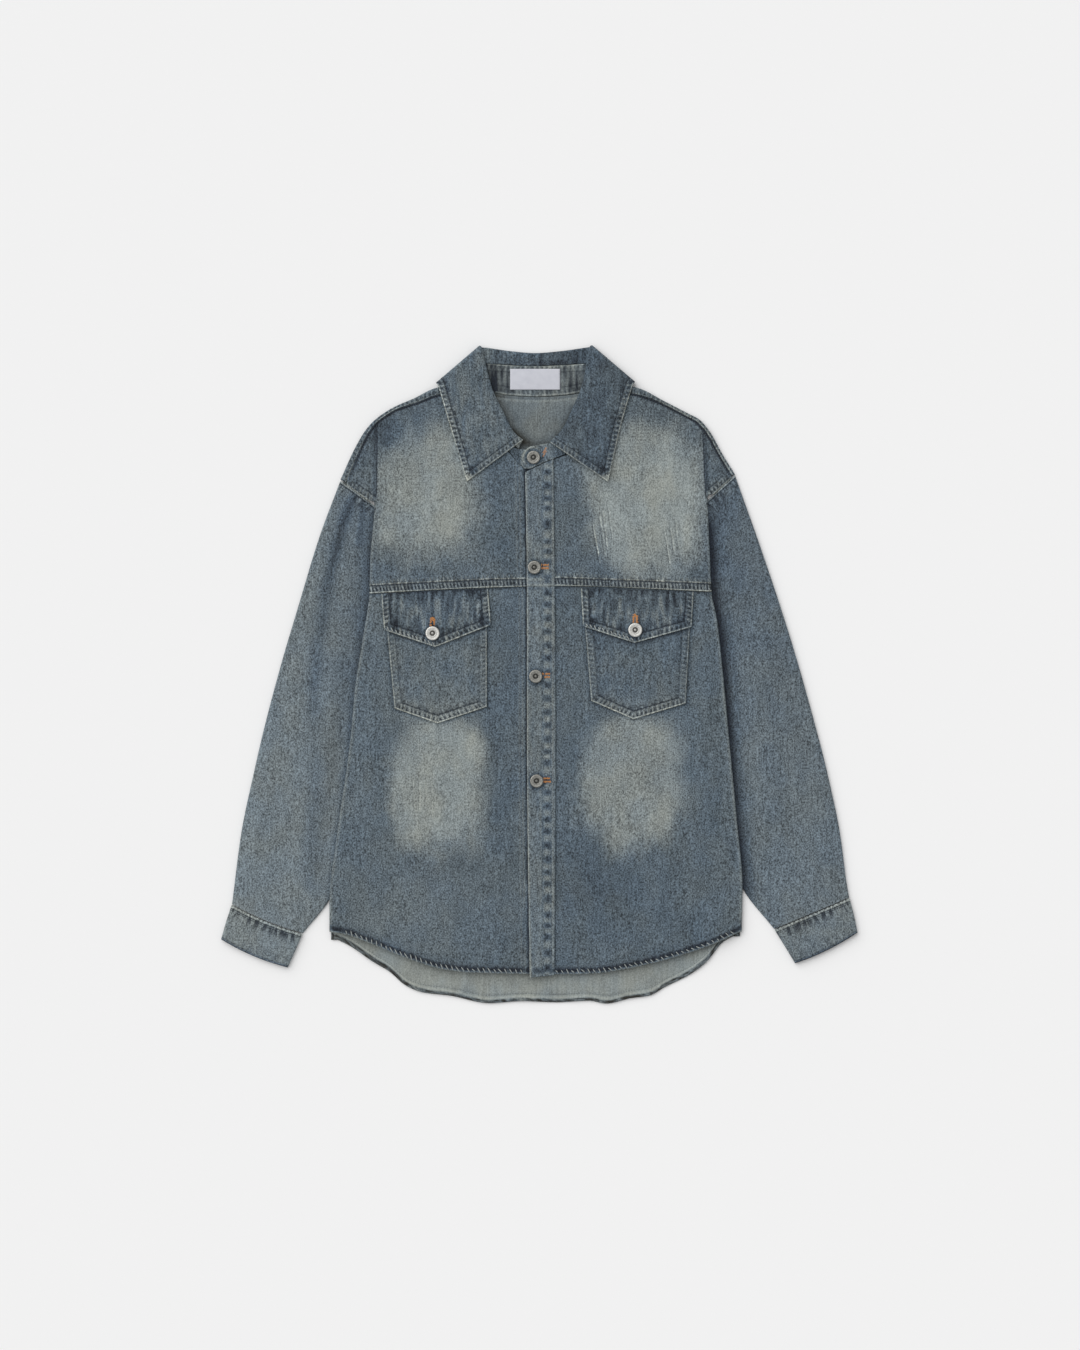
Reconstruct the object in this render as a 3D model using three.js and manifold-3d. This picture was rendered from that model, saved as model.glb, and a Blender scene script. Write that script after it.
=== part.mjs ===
// A washed denim shirt jacket, laid flat on its back and fastened to the neck.
// Millimetres, +Z up. The origin is under the middle of its bounding box, on the surface it lies on.
// "Left" and "right" are as seen from above with the collar at the top (+Y).
// In the tables, "out" is the distance from the centre line, towards that side's sleeve.

import * as THREE from "three";
import Module from "manifold-3d";
import { mergeVertices } from "three/addons/utils/BufferGeometryUtils.js";

// Cloth and the gaps between layers
const CLOTH = 1.2;
const HEM_CLOTH = 2;
const COLLAR_CLOTH = 1.6;
const CUFF_CLOTH = 1.8;
const PLACKET_CLOTH = 2;
const GAP = 0.3;

// Heights of the layers above the surface
const SLEEVE_TOP_COVERED = 3;
const SLEEVE_TOP_SHOWN = 4.6;
const BACK_OVER_SLEEVE = SLEEVE_TOP_COVERED + GAP;
const BACK_OVER_COLLAR = COLLAR_CLOTH + GAP;
const FRONT_UNDER = BACK_OVER_SLEEVE + CLOTH + 0.4;
const FRONT_TOP = FRONT_UNDER + CLOTH;
const CAP_DROP = 2.3;
const SIDE_ROLL = FRONT_UNDER - BACK_OVER_SLEEVE;
const EDGE_INSET = 2;
const HEM_WIDTH = 8.5;
const BAND_WIDTH = 10;

// How the collar turns: its two layers are LAYER apart from their middle
const LAYER = (COLLAR_CLOTH + GAP) / 2;
const COLLAR_FRONT = FRONT_TOP + GAP + COLLAR_CLOTH / 2 - LAYER;
const COLLAR_BACK = COLLAR_CLOTH / 2 + LAYER;
const COLLAR_TURN = (COLLAR_FRONT - COLLAR_BACK) / 2;
const TAB_LIFT = 1.9;

// The shoulder cap outside the body's fold: the fold's top, the cap's corner, and how it ends at its foot
const FOLD_TOP = 299;
const CAP_CORNER = 262;
const CAP_CLEAR = 8;

const SIDES = {
  left: {
    sign: -1,
    capFoot: 207,
    edge: [
      { y: 299, out: 196.5 }, { y: 203, out: 198 }, { y: 138, out: 203 }, { y: 100, out: 204 },
      { y: 44, out: 212 }, { y: -13, out: 221 }, { y: -78, out: 227 }, { y: -199, out: 244 },
      { y: -271, out: 252 }, { y: -308, out: 252 },
    ],
    shoulder: [
      { out: 90, y: 351, strip: 9 }, { out: 108, y: 348, strip: 9 }, { out: 125, y: 344.5, strip: 8.5 },
      { out: 150, y: 332.5, strip: 6 }, { out: 175, y: 321.5, strip: 3.6 }, { out: 195, y: 308.5, strip: 3.6 },
      { out: 208, y: 295, strip: 4.5 }, { out: 221, y: 273.5, strip: 6 }, { out: 239, y: 234.5, strip: 7.5 },
    ],
    sleeve: [
      { outer: [239, 232], inner: [88, 124] }, { outer: [264, 166], inner: [113, 78] },
      { outer: [289, 84], inner: [141, 22] }, { outer: [309.5, 15], inner: [162, -36] },
      { outer: [329.5, -60], inner: [185, -96] }, { outer: [343, -118], inner: [203, -142] },
      { outer: [358, -190], inner: [227, -205] }, { outer: [366.5, -255], inner: [250, -266] },
      { outer: [369, -275], inner: [284, -310] },
    ],
    cuff: [
      { outer: [369.5, -276], inner: [284.5, -311], bow: 0 },
      { outer: [376, -296], inner: [293, -331], bow: 1.8 },
      { outer: [382, -317], inner: [302, -351], bow: 3.5 },
    ],
    neck: [{ out: 18, y: 245 }, { out: 45, y: 259 }, { out: 68, y: 285 }, { out: 82, y: 320 }, { out: 86, y: 341.3 }],
    pocket: { top: [[185, 79], [63, 80]], foot: [[173.5, -40], [122, -58], [63, -38]] },
    flap: { top: [[189.5, 97.6], [61.6, 103.4]], foot: [[186, 54], [125, 33.6], [58, 60]] },
  },
  right: {
    sign: 1,
    capFoot: 214,
    edge: [
      { y: 299, out: 198 }, { y: 211, out: 202 }, { y: 138, out: 205 }, { y: 100, out: 207 },
      { y: 61, out: 214 }, { y: 16, out: 219 }, { y: -77, out: 228 }, { y: -172, out: 237 },
      { y: -253, out: 244 }, { y: -308, out: 243 },
    ],
    shoulder: [
      { out: 86, y: 352, strip: 9 }, { out: 106, y: 348, strip: 9 }, { out: 122, y: 343.5, strip: 7.5 },
      { out: 150, y: 329, strip: 3.6 }, { out: 178, y: 314.5, strip: 3.6 }, { out: 192, y: 307, strip: 3.6 },
      { out: 205, y: 292, strip: 3.6 }, { out: 219, y: 267, strip: 3.6 }, { out: 235, y: 241, strip: 3.6 },
    ],
    sleeve: [
      { outer: [235, 240], inner: [100, 118] }, { outer: [265, 155], inner: [124, 68] },
      { outer: [289.5, 82], inner: [146, 8] }, { outer: [307, 26], inner: [163, -42] },
      { outer: [328.5, -50], inner: [185, -98] }, { outer: [346, -118], inner: [203, -143] },
      { outer: [361, -190], inner: [224, -202] }, { outer: [369, -250], inner: [243, -254] },
      { outer: [372, -267], inner: [282, -305] },
    ],
    cuff: [
      { outer: [372.5, -268], inner: [282.5, -306], bow: 0 },
      { outer: [378, -289], inner: [295, -326], bow: 1.5 },
      { outer: [382, -309], inner: [307, -346], bow: 3 },
    ],
    neck: [{ out: 17, y: 258.5 }, { out: 45, y: 270 }, { out: 66, y: 293 }, { out: 79, y: 323 }, { out: 82, y: 341.6 }],
    pocket: { top: [[181.7, 79], [53, 80]], foot: [[175.6, -34], [113, -53], [62.4, -31]] },
    flap: { top: [[185, 99.6], [50, 104]], foot: [[182.5, 57.6], [114.4, 38.5], [52.4, 58.4]] },
  },
};

// Lines across the whole jacket: y at each x
const BACK_NECK = [
  { x: -86, y: 342.6 }, { x: -72, y: 341 }, { x: -38, y: 335.3 }, { x: -5, y: 333.5 }, { x: 30, y: 335.3 },
  { x: 66, y: 341 }, { x: 82.1, y: 343 },
];
const YOKE_FOOT = [
  { x: -210, y: 97.6 }, { x: -61, y: 105 }, { x: 25, y: 107 }, { x: 210, y: 100 },
];
const FRONT_HEM = [
  { x: -252, y: -308 }, { x: -230, y: -312 }, { x: -203, y: -322 }, { x: -153, y: -342 }, { x: -116, y: -353 },
  { x: -80, y: -357 }, { x: 20, y: -359 }, { x: 68, y: -358 }, { x: 102, y: -353 }, { x: 135, y: -346 },
  { x: 203, y: -325 }, { x: 243, y: -307 },
];
const BACK_HEM = [
  { x: -250, y: -314 }, { x: -226, y: -326 }, { x: -200, y: -344 }, { x: -180, y: -356 }, { x: -160, y: -373 },
  { x: -140, y: -381 }, { x: -107, y: -385 }, { x: -60, y: -394 }, { x: -20, y: -391.5 }, { x: 20, y: -393 },
  { x: 60, y: -391 }, { x: 80, y: -394.5 }, { x: 110, y: -388 }, { x: 132, y: -385 }, { x: 150, y: -375 },
  { x: 180, y: -360 }, { x: 200, y: -345 }, { x: 220, y: -321 }, { x: 241, y: -310 },
];
const PLACKET = [
  { y: 262, left: -17.4, right: 16.8 }, { y: 106, left: -15, right: 18.5 },
  { y: -100, left: -14.8, right: 19.6 }, { y: -363, left: -11.6, right: 18.2 },
];
const PLACKET_TOP = { left: 243.5, right: 259 };
const LEFT_FRONT_UNDER_PLACKET = 2.6;
const RIGHT_FRONT_UNDER_PLACKET = 2;

// The collar's sections: its roll, its free edge, its seam to the stand, and the stand's neck seam
const COLLAR_SECTIONS = {
  left: [
    { roll: [-20.5, 281], edge: [-87, 232], seam: [-25, 271.5], neck: [-18, 246] },
    { roll: [-31.5, 290.5], edge: [-93.5, 254], seam: [-38, 284], neck: [-44.6, 260.1] },
    { roll: [-44.5, 315], edge: [-103, 285], seam: [-53, 309.5], neck: [-67, 286] },
    { roll: [-58.5, 345], edge: [-112.5, 317], seam: [-66, 344], neck: [-80.8, 320.6] },
    { roll: [-70, 392], edge: [-121.5, 348], seam: [-70, 373], neck: [-83.6, 345] },
  ],
  back: [
    { roll: [-63.5, 391.5], edge: [-98, 337], seam: [-62, 374], neck: [-72, 343.2] },
    { roll: [-36, 387.5], edge: [-50, 329], seam: [-36, 372.5], neck: [-38, 336.5] },
    { roll: [-5, 385], edge: [-5, 327], seam: [-5, 371.5], neck: [-5, 334.5] },
    { roll: [27, 387.5], edge: [41, 329], seam: [27, 372.5], neck: [30, 336.5] },
    { roll: [55, 391.5], edge: [88, 338], seam: [53, 374], neck: [66, 343.2] },
  ],
  right: [
    { roll: [61.5, 392.5], edge: [112.5, 349], seam: [61, 373], neck: [79.6, 345.5] },
    { roll: [52.5, 347], edge: [103, 318], seam: [60, 346], neck: [77.8, 323.6] },
    { roll: [40.5, 318], edge: [95, 287], seam: [50, 312], neck: [65, 294.2] },
    { roll: [28.5, 294], edge: [88, 256], seam: [36, 288], neck: [44.6, 271.3] },
    { roll: [13.5, 278.5], edge: [82.5, 231.5], seam: [20, 280], neck: [20, 260.8] },
  ],
};
const STAND_LEFT_END = [{ neck: [10, 253], seam: [9, 270] }];
const STAND_TAB = [
  { neck: [4, 254.4], seam: [8, 278] }, { neck: [-12, 247.4], seam: [-12, 274] },
  { neck: [-17.5, 247.6], seam: [-17.8, 268] }, { neck: [-20.5, 251], seam: [-20.5, 262] },
];
const COLLAR_EDGE = [
  { x: -122, y: 347 }, { x: -95, y: 336 }, { x: -60, y: 329 }, { x: 50, y: 329 }, { x: 85, y: 338 },
  { x: 112, y: 349 },
];
const LABEL = { x: -5, y: 355, width: 60, height: 25, cloth: 0.8 };

const FRONT_BUTTONS = [{ x: -7, y: 261 }, { x: -6, y: 129 }, { x: -4.3, y: -1.6 }, { x: -3.2, y: -127 }];
const FLAP_BUTTONS = { left: { x: -128, y: 50 }, right: { x: 115, y: 54 } };
const BUTTON_RADIUS = 8;
const FLAP_BUTTON_RADIUS = 8.5;

const FINISH = {
  body: { color: 0x5a6b78, roughness: 0.92 },
  sleeve: { color: 0x63727b, roughness: 0.92 },
  trim: { color: 0x66747c, roughness: 0.9 },
  label: { color: 0xc6c8d0, roughness: 0.6 },
  metal: { color: 0xa9a8a4, roughness: 0.4, metalness: 1 },
};

// Small functions for tables and lines

function smooth(from, to, value) {
  const t = THREE.MathUtils.clamp((value - from) / (to - from), 0, 1);
  return t * t * (3 - 2 * t);
}

// The value of a table's column, between the rows either side of a key
function lookUp(rows, key, column, at) {
  const rising = rows[rows.length - 1][key] > rows[0][key];
  const sorted = rising ? rows : [...rows].reverse();
  if (at <= sorted[0][key]) return sorted[0][column];
  const next = sorted.findIndex((row) => row[key] >= at);
  if (next < 0) return sorted[sorted.length - 1][column];
  const [a, b] = [sorted[next - 1], sorted[next]];
  return THREE.MathUtils.lerp(a[column], b[column], (at - a[key]) / (b[key] - a[key]));
}

function distanceToLine(points, x, y) {
  const at = new THREE.Vector3(x, y, 0);
  const near = new THREE.Vector3();
  const distances = points.slice(1).map((point, i) => {
    const stretch = new THREE.Line3(new THREE.Vector3(...points[i], 0), new THREE.Vector3(...point, 0));
    return stretch.closestPointToPoint(at, true, near).distanceTo(at);
  });
  return Math.min(...distances);
}

function isInside(polygon, x, y) {
  let inside = false;
  polygon.forEach(([ax, ay], i) => {
    const [bx, by] = polygon[(i + 1) % polygon.length];
    const crosses = (ay > y) !== (by > y);
    if (crosses && x < ((bx - ax) * (y - ay)) / (by - ay) + ax) inside = !inside;
  });
  return inside;
}

// A line moved sideways by a distance of its own at each point, towards the jacket's middle
function movedIn(rows, distance) {
  return rows.map((row, i) => {
    const before = rows[Math.max(i - 1, 0)];
    const after = rows[Math.min(i + 1, rows.length - 1)];
    const along = new THREE.Vector2(after.out - before.out, after.y - before.y).normalize();
    return { out: row.out + along.y * distance(row), y: row.y - along.x * distance(row) };
  });
}

// Heights of the layers

const sideAt = (x) => (x < 0 ? SIDES.left : SIDES.right);
const edgeAt = (side, y) => lookUp(side.edge, "y", "out", y);
const foldAt = (side, y) => edgeAt(side, y) - SIDE_ROLL - CLOTH / 2;

// 1 on the low shoulder cap outside the body's fold, 0 on the body
function capShare(x, y) {
  const side = sideAt(x);
  const beyond = side.sign * x - foldAt(side, y);
  return smooth(0, 5, beyond) * smooth(side.capFoot, side.capFoot + CAP_CLEAR, y);
}

// 1 where the back lies on a sleeve, 0 where it lies on the surface
function sleeveCover(x, y) {
  const side = sideAt(x);
  const out = side.sign * x;
  const inner = [side.sleeve[0].outer, ...side.sleeve.slice(0, -1).map((row) => row.inner)];
  const footprint = [...inner, [600, inner[inner.length - 1][1]], [600, inner[0][1]]];
  if (isInside(footprint, out, y)) return 1;
  return 1 - smooth(22, 60, distanceToLine(inner, out, y));
}

// 1 where the back lies on the collar's turned-down half
function collarCover(x, y) {
  const line = COLLAR_EDGE.map((row) => [row.x, row.y]);
  const covered = x > line[0][0] && x < line[line.length - 1][0] && y > lookUp(COLLAR_EDGE, "x", "y", x);
  return covered ? 1 : 1 - smooth(12, 44, distanceToLine(line, x, y));
}

function backUnder(x, y) {
  const onSleeve = BACK_OVER_SLEEVE * sleeveCover(x, y) * (1 - capShare(x, y));
  return Math.max(onSleeve, BACK_OVER_COLLAR * collarCover(x, y));
}

const frontUnder = (x, y) => FRONT_UNDER - CAP_DROP * capShare(x, y) * (1 - smooth(255, 297, y));

// Solids

// A closed wall of cloth round a grid of points on its middle surface; "round" joins the first column to the last
function wall(grid, cloth, round = false) {
  const columns = grid.length;
  const rows = grid[0].length;
  const positions = [];
  const column = (i) => (round ? grid[(i + columns) % columns] : grid[THREE.MathUtils.clamp(i, 0, columns - 1)]);
  for (const side of [0.5, -0.5]) {
    for (let i = 0; i < columns; i += 1) {
      for (let j = 0; j < rows; j += 1) {
        const across = column(i + 1)[j].clone().sub(column(i - 1)[j]);
        const down = grid[i][Math.min(j + 1, rows - 1)].clone().sub(grid[i][Math.max(j - 1, 0)]);
        const normal = across.cross(down).normalize();
        positions.push(...grid[i][j].clone().addScaledVector(normal, side * cloth(i, j)).toArray());
      }
    }
  }
  const index = [];
  const at = (layer, i, j) => layer * columns * rows + (i % columns) * rows + j;
  const quad = (a, b, c, d) => index.push(a, b, c, a, c, d);
  const lastColumn = round ? columns : columns - 1;
  for (let i = 0; i < lastColumn; i += 1) {
    for (let j = 0; j < rows - 1; j += 1) {
      quad(at(0, i, j), at(0, i + 1, j), at(0, i + 1, j + 1), at(0, i, j + 1));
      quad(at(1, i, j), at(1, i, j + 1), at(1, i + 1, j + 1), at(1, i + 1, j));
    }
    quad(at(0, i, 0), at(1, i, 0), at(1, i + 1, 0), at(0, i + 1, 0));
    quad(at(0, i, rows - 1), at(0, i + 1, rows - 1), at(1, i + 1, rows - 1), at(1, i, rows - 1));
  }
  if (!round) {
    const end = columns - 1;
    for (let j = 0; j < rows - 1; j += 1) {
      quad(at(0, 0, j), at(0, 0, j + 1), at(1, 0, j + 1), at(1, 0, j));
      quad(at(0, end, j), at(1, end, j), at(1, end, j + 1), at(0, end, j + 1));
    }
  }
  const geometry = new THREE.BufferGeometry();
  geometry.setAttribute("position", new THREE.Float32BufferAttribute(positions, 3));
  geometry.setIndex(index);
  return facingOut(geometry);
}

// Turns the faces over where a grid ran the other way round
function facingOut(geometry) {
  const { array } = geometry.getAttribute("position");
  const index = geometry.getIndex().array;
  const corner = (k) => new THREE.Vector3().fromArray(array, index[k] * 3);
  let volume = 0;
  for (let k = 0; k < index.length; k += 3) {
    volume += corner(k).dot(corner(k + 1).cross(corner(k + 2)));
  }
  if (volume < 0) index.reverse();
  return geometry;
}

const wasm = await Module();
wasm.setup();

function toManifold(geometry) {
  const merged = mergeVertices(geometry, 1e-5);
  const vertProperties = new Float32Array(merged.getAttribute("position").array);
  const triVerts = new Uint32Array(merged.getIndex().array);
  return new wasm.Manifold(new wasm.Mesh({ numProp: 3, vertProperties, triVerts }));
}

// Joins pieces of one cloth, and leaves out any speck that their crossing faces cut off
function joined(...geometries) {
  const whole = geometries.map(toManifold).reduce((sum, solid) => sum.add(solid));
  const bodies = whole.decompose().sort((a, b) => b.volume() - a.volume());
  const { vertProperties, triVerts } = bodies[0].getMesh();
  const geometry = new THREE.BufferGeometry();
  geometry.setAttribute("position", new THREE.Float32BufferAttribute(vertProperties, 3));
  geometry.setIndex([...triVerts]);
  return geometry;
}

// The body's outer strip: on the shoulder cap it runs out to the seams, and below that to the body's edge

function capEdge(side, seamLine, y) {
  const corner = seamLine[seamLine.length - 1];
  if (y > CAP_CORNER) {
    const top = foldAt(side, FOLD_TOP);
    const topY = lookUp(seamLine, "out", "y", top);
    const out = THREE.MathUtils.mapLinear(y, topY, CAP_CORNER, top + 3, corner.out);
    return { out, y: lookUp(seamLine, "out", "y", out) };
  }
  const foot = foldAt(side, side.capFoot) + 6;
  const out = THREE.MathUtils.mapLinear(y, CAP_CORNER, side.capFoot, corner.out, foot);
  return { out, y: armholeAt(side, out) };
}

function armholeAt(side, out) {
  const { outer, inner } = side.sleeve[0];
  return THREE.MathUtils.mapLinear(out, outer[0], inner[0], outer[1], inner[1]);
}

function capStrip(side, seamLine, y, under, cloth) {
  const from = { out: foldAt(side, y), y };
  const to = capEdge(side, seamLine, y);
  const reach = Math.hypot(to.out - from.out, to.y - from.y);
  const step = Math.min(5, reach / 2);
  return [step / 2, step, (step + reach) / 2, reach].map((distance) => {
    const x = side.sign * THREE.MathUtils.lerp(from.out, to.out, distance / reach);
    const atY = THREE.MathUtils.lerp(from.y, to.y, distance / reach);
    return new THREE.Vector3(x, atY, under(x, atY) + cloth / 2);
  });
}

// The front's side fold rolls down round the edge of the back
function rolledEdge(side, x, y, z) {
  const turns = [30, 60, 90].map((degrees) => {
    const angle = THREE.MathUtils.degToRad(degrees);
    const roll = new THREE.Vector3(side.sign * Math.sin(angle), 0, Math.cos(angle) - 1);
    return new THREE.Vector3(x, y, z).addScaledVector(roll, SIDE_ROLL);
  });
  const end = turns[turns.length - 1].clone();
  end.z = backUnder(x, y) + CLOTH / 2 - 0.5;
  return [...turns, end];
}

// Fronts: each row has its height at the side fold, and how far it stays above the panel's foot

const YOKE_ROWS = [
  ...[299, 290, 280, 268, 250, 232, 223, 215.5, 208, 202, 180, 150].map((y) => ({ y, lift: 0 })),
  { y: 120, lift: BAND_WIDTH + 8 },
  { y: 108.4, lift: BAND_WIDTH + 0.4 },
  { y: 107.6, lift: BAND_WIDTH - 0.4 },
  { y: 98, lift: 0.01 },
];
const LOWER_ROWS = [
  ...[97.7, 60, 20, -30, -80, -130, -180, -230].map((y) => ({ y, lift: 0 })),
  { y: -271, lift: 38 },
  { y: -299.2, lift: HEM_WIDTH + 0.4 },
  { y: -300, lift: HEM_WIDTH - 0.4 },
  { y: -308, lift: 0.01 },
];

const placketAt = (column, y) => lookUp(PLACKET, "y", column, y);

function innerEdge(side, y) {
  const under = side.sign < 0 ? LEFT_FRONT_UNDER_PLACKET : RIGHT_FRONT_UNDER_PLACKET;
  return placketAt("right", y) - under;
}

// The front's neck and shoulder seams, from the placket to the fold
function frontTop(side) {
  const seamLine = movedIn(side.shoulder, (row) => row.strip + GAP);
  const fold = foldAt(side, FOLD_TOP);
  const shoulder = seamLine.filter((row) => row.out > side.neck[4].out + 8 && row.out < fold - 6);
  const points = [...side.neck, ...shoulder, { out: fold, y: lookUp(seamLine, "out", "y", fold) }];
  const top = points.map((row) => ({ x: side.sign * row.out, y: row.y }));
  if (side.sign > 0) return { top, seamLine };
  return { top: [{ x: innerEdge(side, 250), y: 252 }, ...top], seamLine };
}

function frontPanel(side, rows, top, footAt, seamLine) {
  const inner = top[0].x;
  const outer = top[top.length - 1].x;
  const isYoke = seamLine !== null;
  const first = isYoke ? top[top.length - 1].y : rows[0].y;
  const last = rows[rows.length - 1].y;
  const thick = (j) => (j >= rows.length - 2 ? HEM_CLOTH : CLOTH);
  const main = top.map((corner) => {
    const share = (corner.x - inner) / (outer - inner);
    return rows.map((row, j) => {
      const fold = side.sign * foldAt(side, row.y);
      const footX = THREE.MathUtils.lerp(innerEdge(side, last), side.sign * foldAt(side, last), share);
      const foot = footAt(footX);
      const fall = j === 0 ? 0 : (first - row.y) / (first - last);
      const y = row.lift > 0 ? foot + row.lift : THREE.MathUtils.lerp(corner.y, foot, fall);
      const x = j === 0 && isYoke ? corner.x : THREE.MathUtils.lerp(innerEdge(side, y), fold, share);
      return new THREE.Vector3(x, y, frontUnder(x, y) + thick(j) / 2);
    });
  });
  const strips = rows.map((row, j) => {
    const from = main[main.length - 1][j];
    if (isYoke && row.y > side.capFoot) return capStrip(side, seamLine, from.y, frontUnder, CLOTH);
    return rolledEdge(side, from.x, from.y, from.z);
  });
  const strip = strips[0].map((_, k) => strips.map((points) => points[k]));
  return wall([...main, ...strip], (i, j) => thick(j));
}

function frontYoke(side) {
  const { top, seamLine } = frontTop(side);
  return frontPanel(side, YOKE_ROWS, top, (x) => lookUp(YOKE_FOOT, "x", "y", x), seamLine);
}

function frontLower(side) {
  const shares = [0, 0.06, 0.14, 0.24, 0.36, 0.48, 0.6, 0.72, 0.82, 0.91, 1];
  const y = LOWER_ROWS[0].y;
  const top = shares.map((share) => {
    const x = THREE.MathUtils.lerp(innerEdge(side, y), side.sign * foldAt(side, y), share);
    return { x, y: lookUp(YOKE_FOOT, "x", "y", x) - GAP - 0.2 };
  });
  return frontPanel(side, LOWER_ROWS, top, (x) => lookUp(FRONT_HEM, "x", "y", x), null);
}

// Back: one panel that turns forward over each shoulder in a strip

const BACK_ROWS = [
  ...[299, 290, 280, 268, 250, 232, 223, 215.5, 208, 202, 180, 150, 125, 100, 70, 20].map((y) => ({ y, lift: 0 })),
  ...[-30, -80, -130, -180, -230, -275].map((y) => ({ y, lift: 0 })),
  { y: -302.2, lift: HEM_WIDTH + 0.4 },
  { y: -303, lift: HEM_WIDTH - 0.4 },
  { y: -312, lift: 0.01 },
];
const SHOULDER_INSET = 3.2;
const onCap = (side, y) => y > side.capFoot + CAP_CLEAR;

function backTop() {
  const half = (side) => {
    const line = movedIn(side.shoulder, () => SHOULDER_INSET);
    const fold = foldAt(side, FOLD_TOP);
    const inside = line.filter((row) => row.out < fold - 6);
    const points = [...inside, { out: fold, y: lookUp(line, "out", "y", fold) }];
    return points.map((row) => ({ x: side.sign * row.out, y: row.y }));
  };
  return [...half(SIDES.left).reverse(), ...BACK_NECK, ...half(SIDES.right)];
}

function backStrip(side, row, from) {
  if (onCap(side, row.y)) {
    const line = movedIn(side.shoulder, () => SHOULDER_INSET);
    return capStrip(side, line, from.y, backUnder, CLOTH);
  }
  const edge = side.sign * (edgeAt(side, row.y) - EDGE_INSET);
  return [0.25, 0.5, 0.75, 1].map((share) => {
    const x = THREE.MathUtils.lerp(from.x, edge, share);
    return new THREE.Vector3(x, from.y, backUnder(x, from.y) + from.cloth / 2);
  });
}

function backPanel() {
  const top = backTop();
  const thick = (j) => (j >= BACK_ROWS.length - 2 ? HEM_CLOTH : CLOTH);
  const last = BACK_ROWS[BACK_ROWS.length - 1].y;
  const mainEnd = (side, y) => side.sign * (onCap(side, y) ? foldAt(side, y) : edgeAt(side, y) - 10);
  const left = top[0].x;
  const right = top[top.length - 1].x;
  const grid = top.map((corner) => {
    const share = (corner.x - left) / (right - left);
    return BACK_ROWS.map((row, j) => {
      const footX = THREE.MathUtils.lerp(mainEnd(SIDES.left, last), mainEnd(SIDES.right, last), share);
      const foot = lookUp(BACK_HEM, "x", "y", footX);
      const first = THREE.MathUtils.lerp(top[0].y, top[top.length - 1].y, share);
      const fall = j === 0 ? 0 : (first - row.y) / (first - last);
      const y = row.lift > 0 ? foot + row.lift : THREE.MathUtils.lerp(corner.y, foot, fall);
      const x = THREE.MathUtils.lerp(mainEnd(SIDES.left, row.y), mainEnd(SIDES.right, row.y), share);
      return new THREE.Vector3(x, y, backUnder(x, y) + thick(j) / 2);
    });
  });
  const strips = (side, column) => {
    const points = BACK_ROWS.map((row, j) => {
      const { x, y } = column[j];
      return backStrip(side, row, { x, y, cloth: thick(j) });
    });
    return points[0].map((_, k) => points.map((strip) => strip[k]));
  };
  const leftStrip = strips(SIDES.left, grid[0]).reverse();
  const rightStrip = strips(SIDES.right, grid[grid.length - 1]);
  const panel = wall([...leftStrip, ...grid, ...rightStrip], (i, j) => thick(j));
  return joined(panel, shoulderTurn(SIDES.left), shoulderTurn(SIDES.right));
}

// The strip of the back that rolls up over the shoulder edge and lies beside the front's seam
function shoulderTurn(side) {
  const start = movedIn(side.shoulder, () => SHOULDER_INSET + 3);
  const grid = side.shoulder.map((row, i) => {
    const inward = new THREE.Vector3(side.sign * (start[i].out - row.out), start[i].y - row.y, 0).normalize();
    const edge = new THREE.Vector3(side.sign * row.out, row.y, 0);
    const low = backUnder(edge.x, edge.y) + CLOTH / 2;
    const drop = CAP_DROP * smooth(200, 225, row.out);
    const high = FRONT_UNDER + CLOTH / 2 - drop;
    const radius = (high - low) / 2;
    const place = (inside, z) => edge.clone().addScaledVector(inward, inside).setZ(z);
    const arc = [0, 45, 90, 135, 180].map((degrees) => {
      const angle = THREE.MathUtils.degToRad(degrees);
      const inside = radius + CLOTH / 2 - radius * Math.sin(angle);
      return place(inside, low + radius * (1 - Math.cos(angle)));
    });
    return [place(SHOULDER_INSET + 3, low), ...arc, place(Math.max(row.strip, radius + 1), high)];
  });
  return wall(grid, (i, j) => (j < 2 ? CLOTH - 0.2 : CLOTH));
}

// Sleeves and cuffs: flattened tubes that lie on the surface

const ACROSS = [0, 0.12, 0.26, 0.42, 0.58, 0.74, 0.88, 1];

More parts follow.
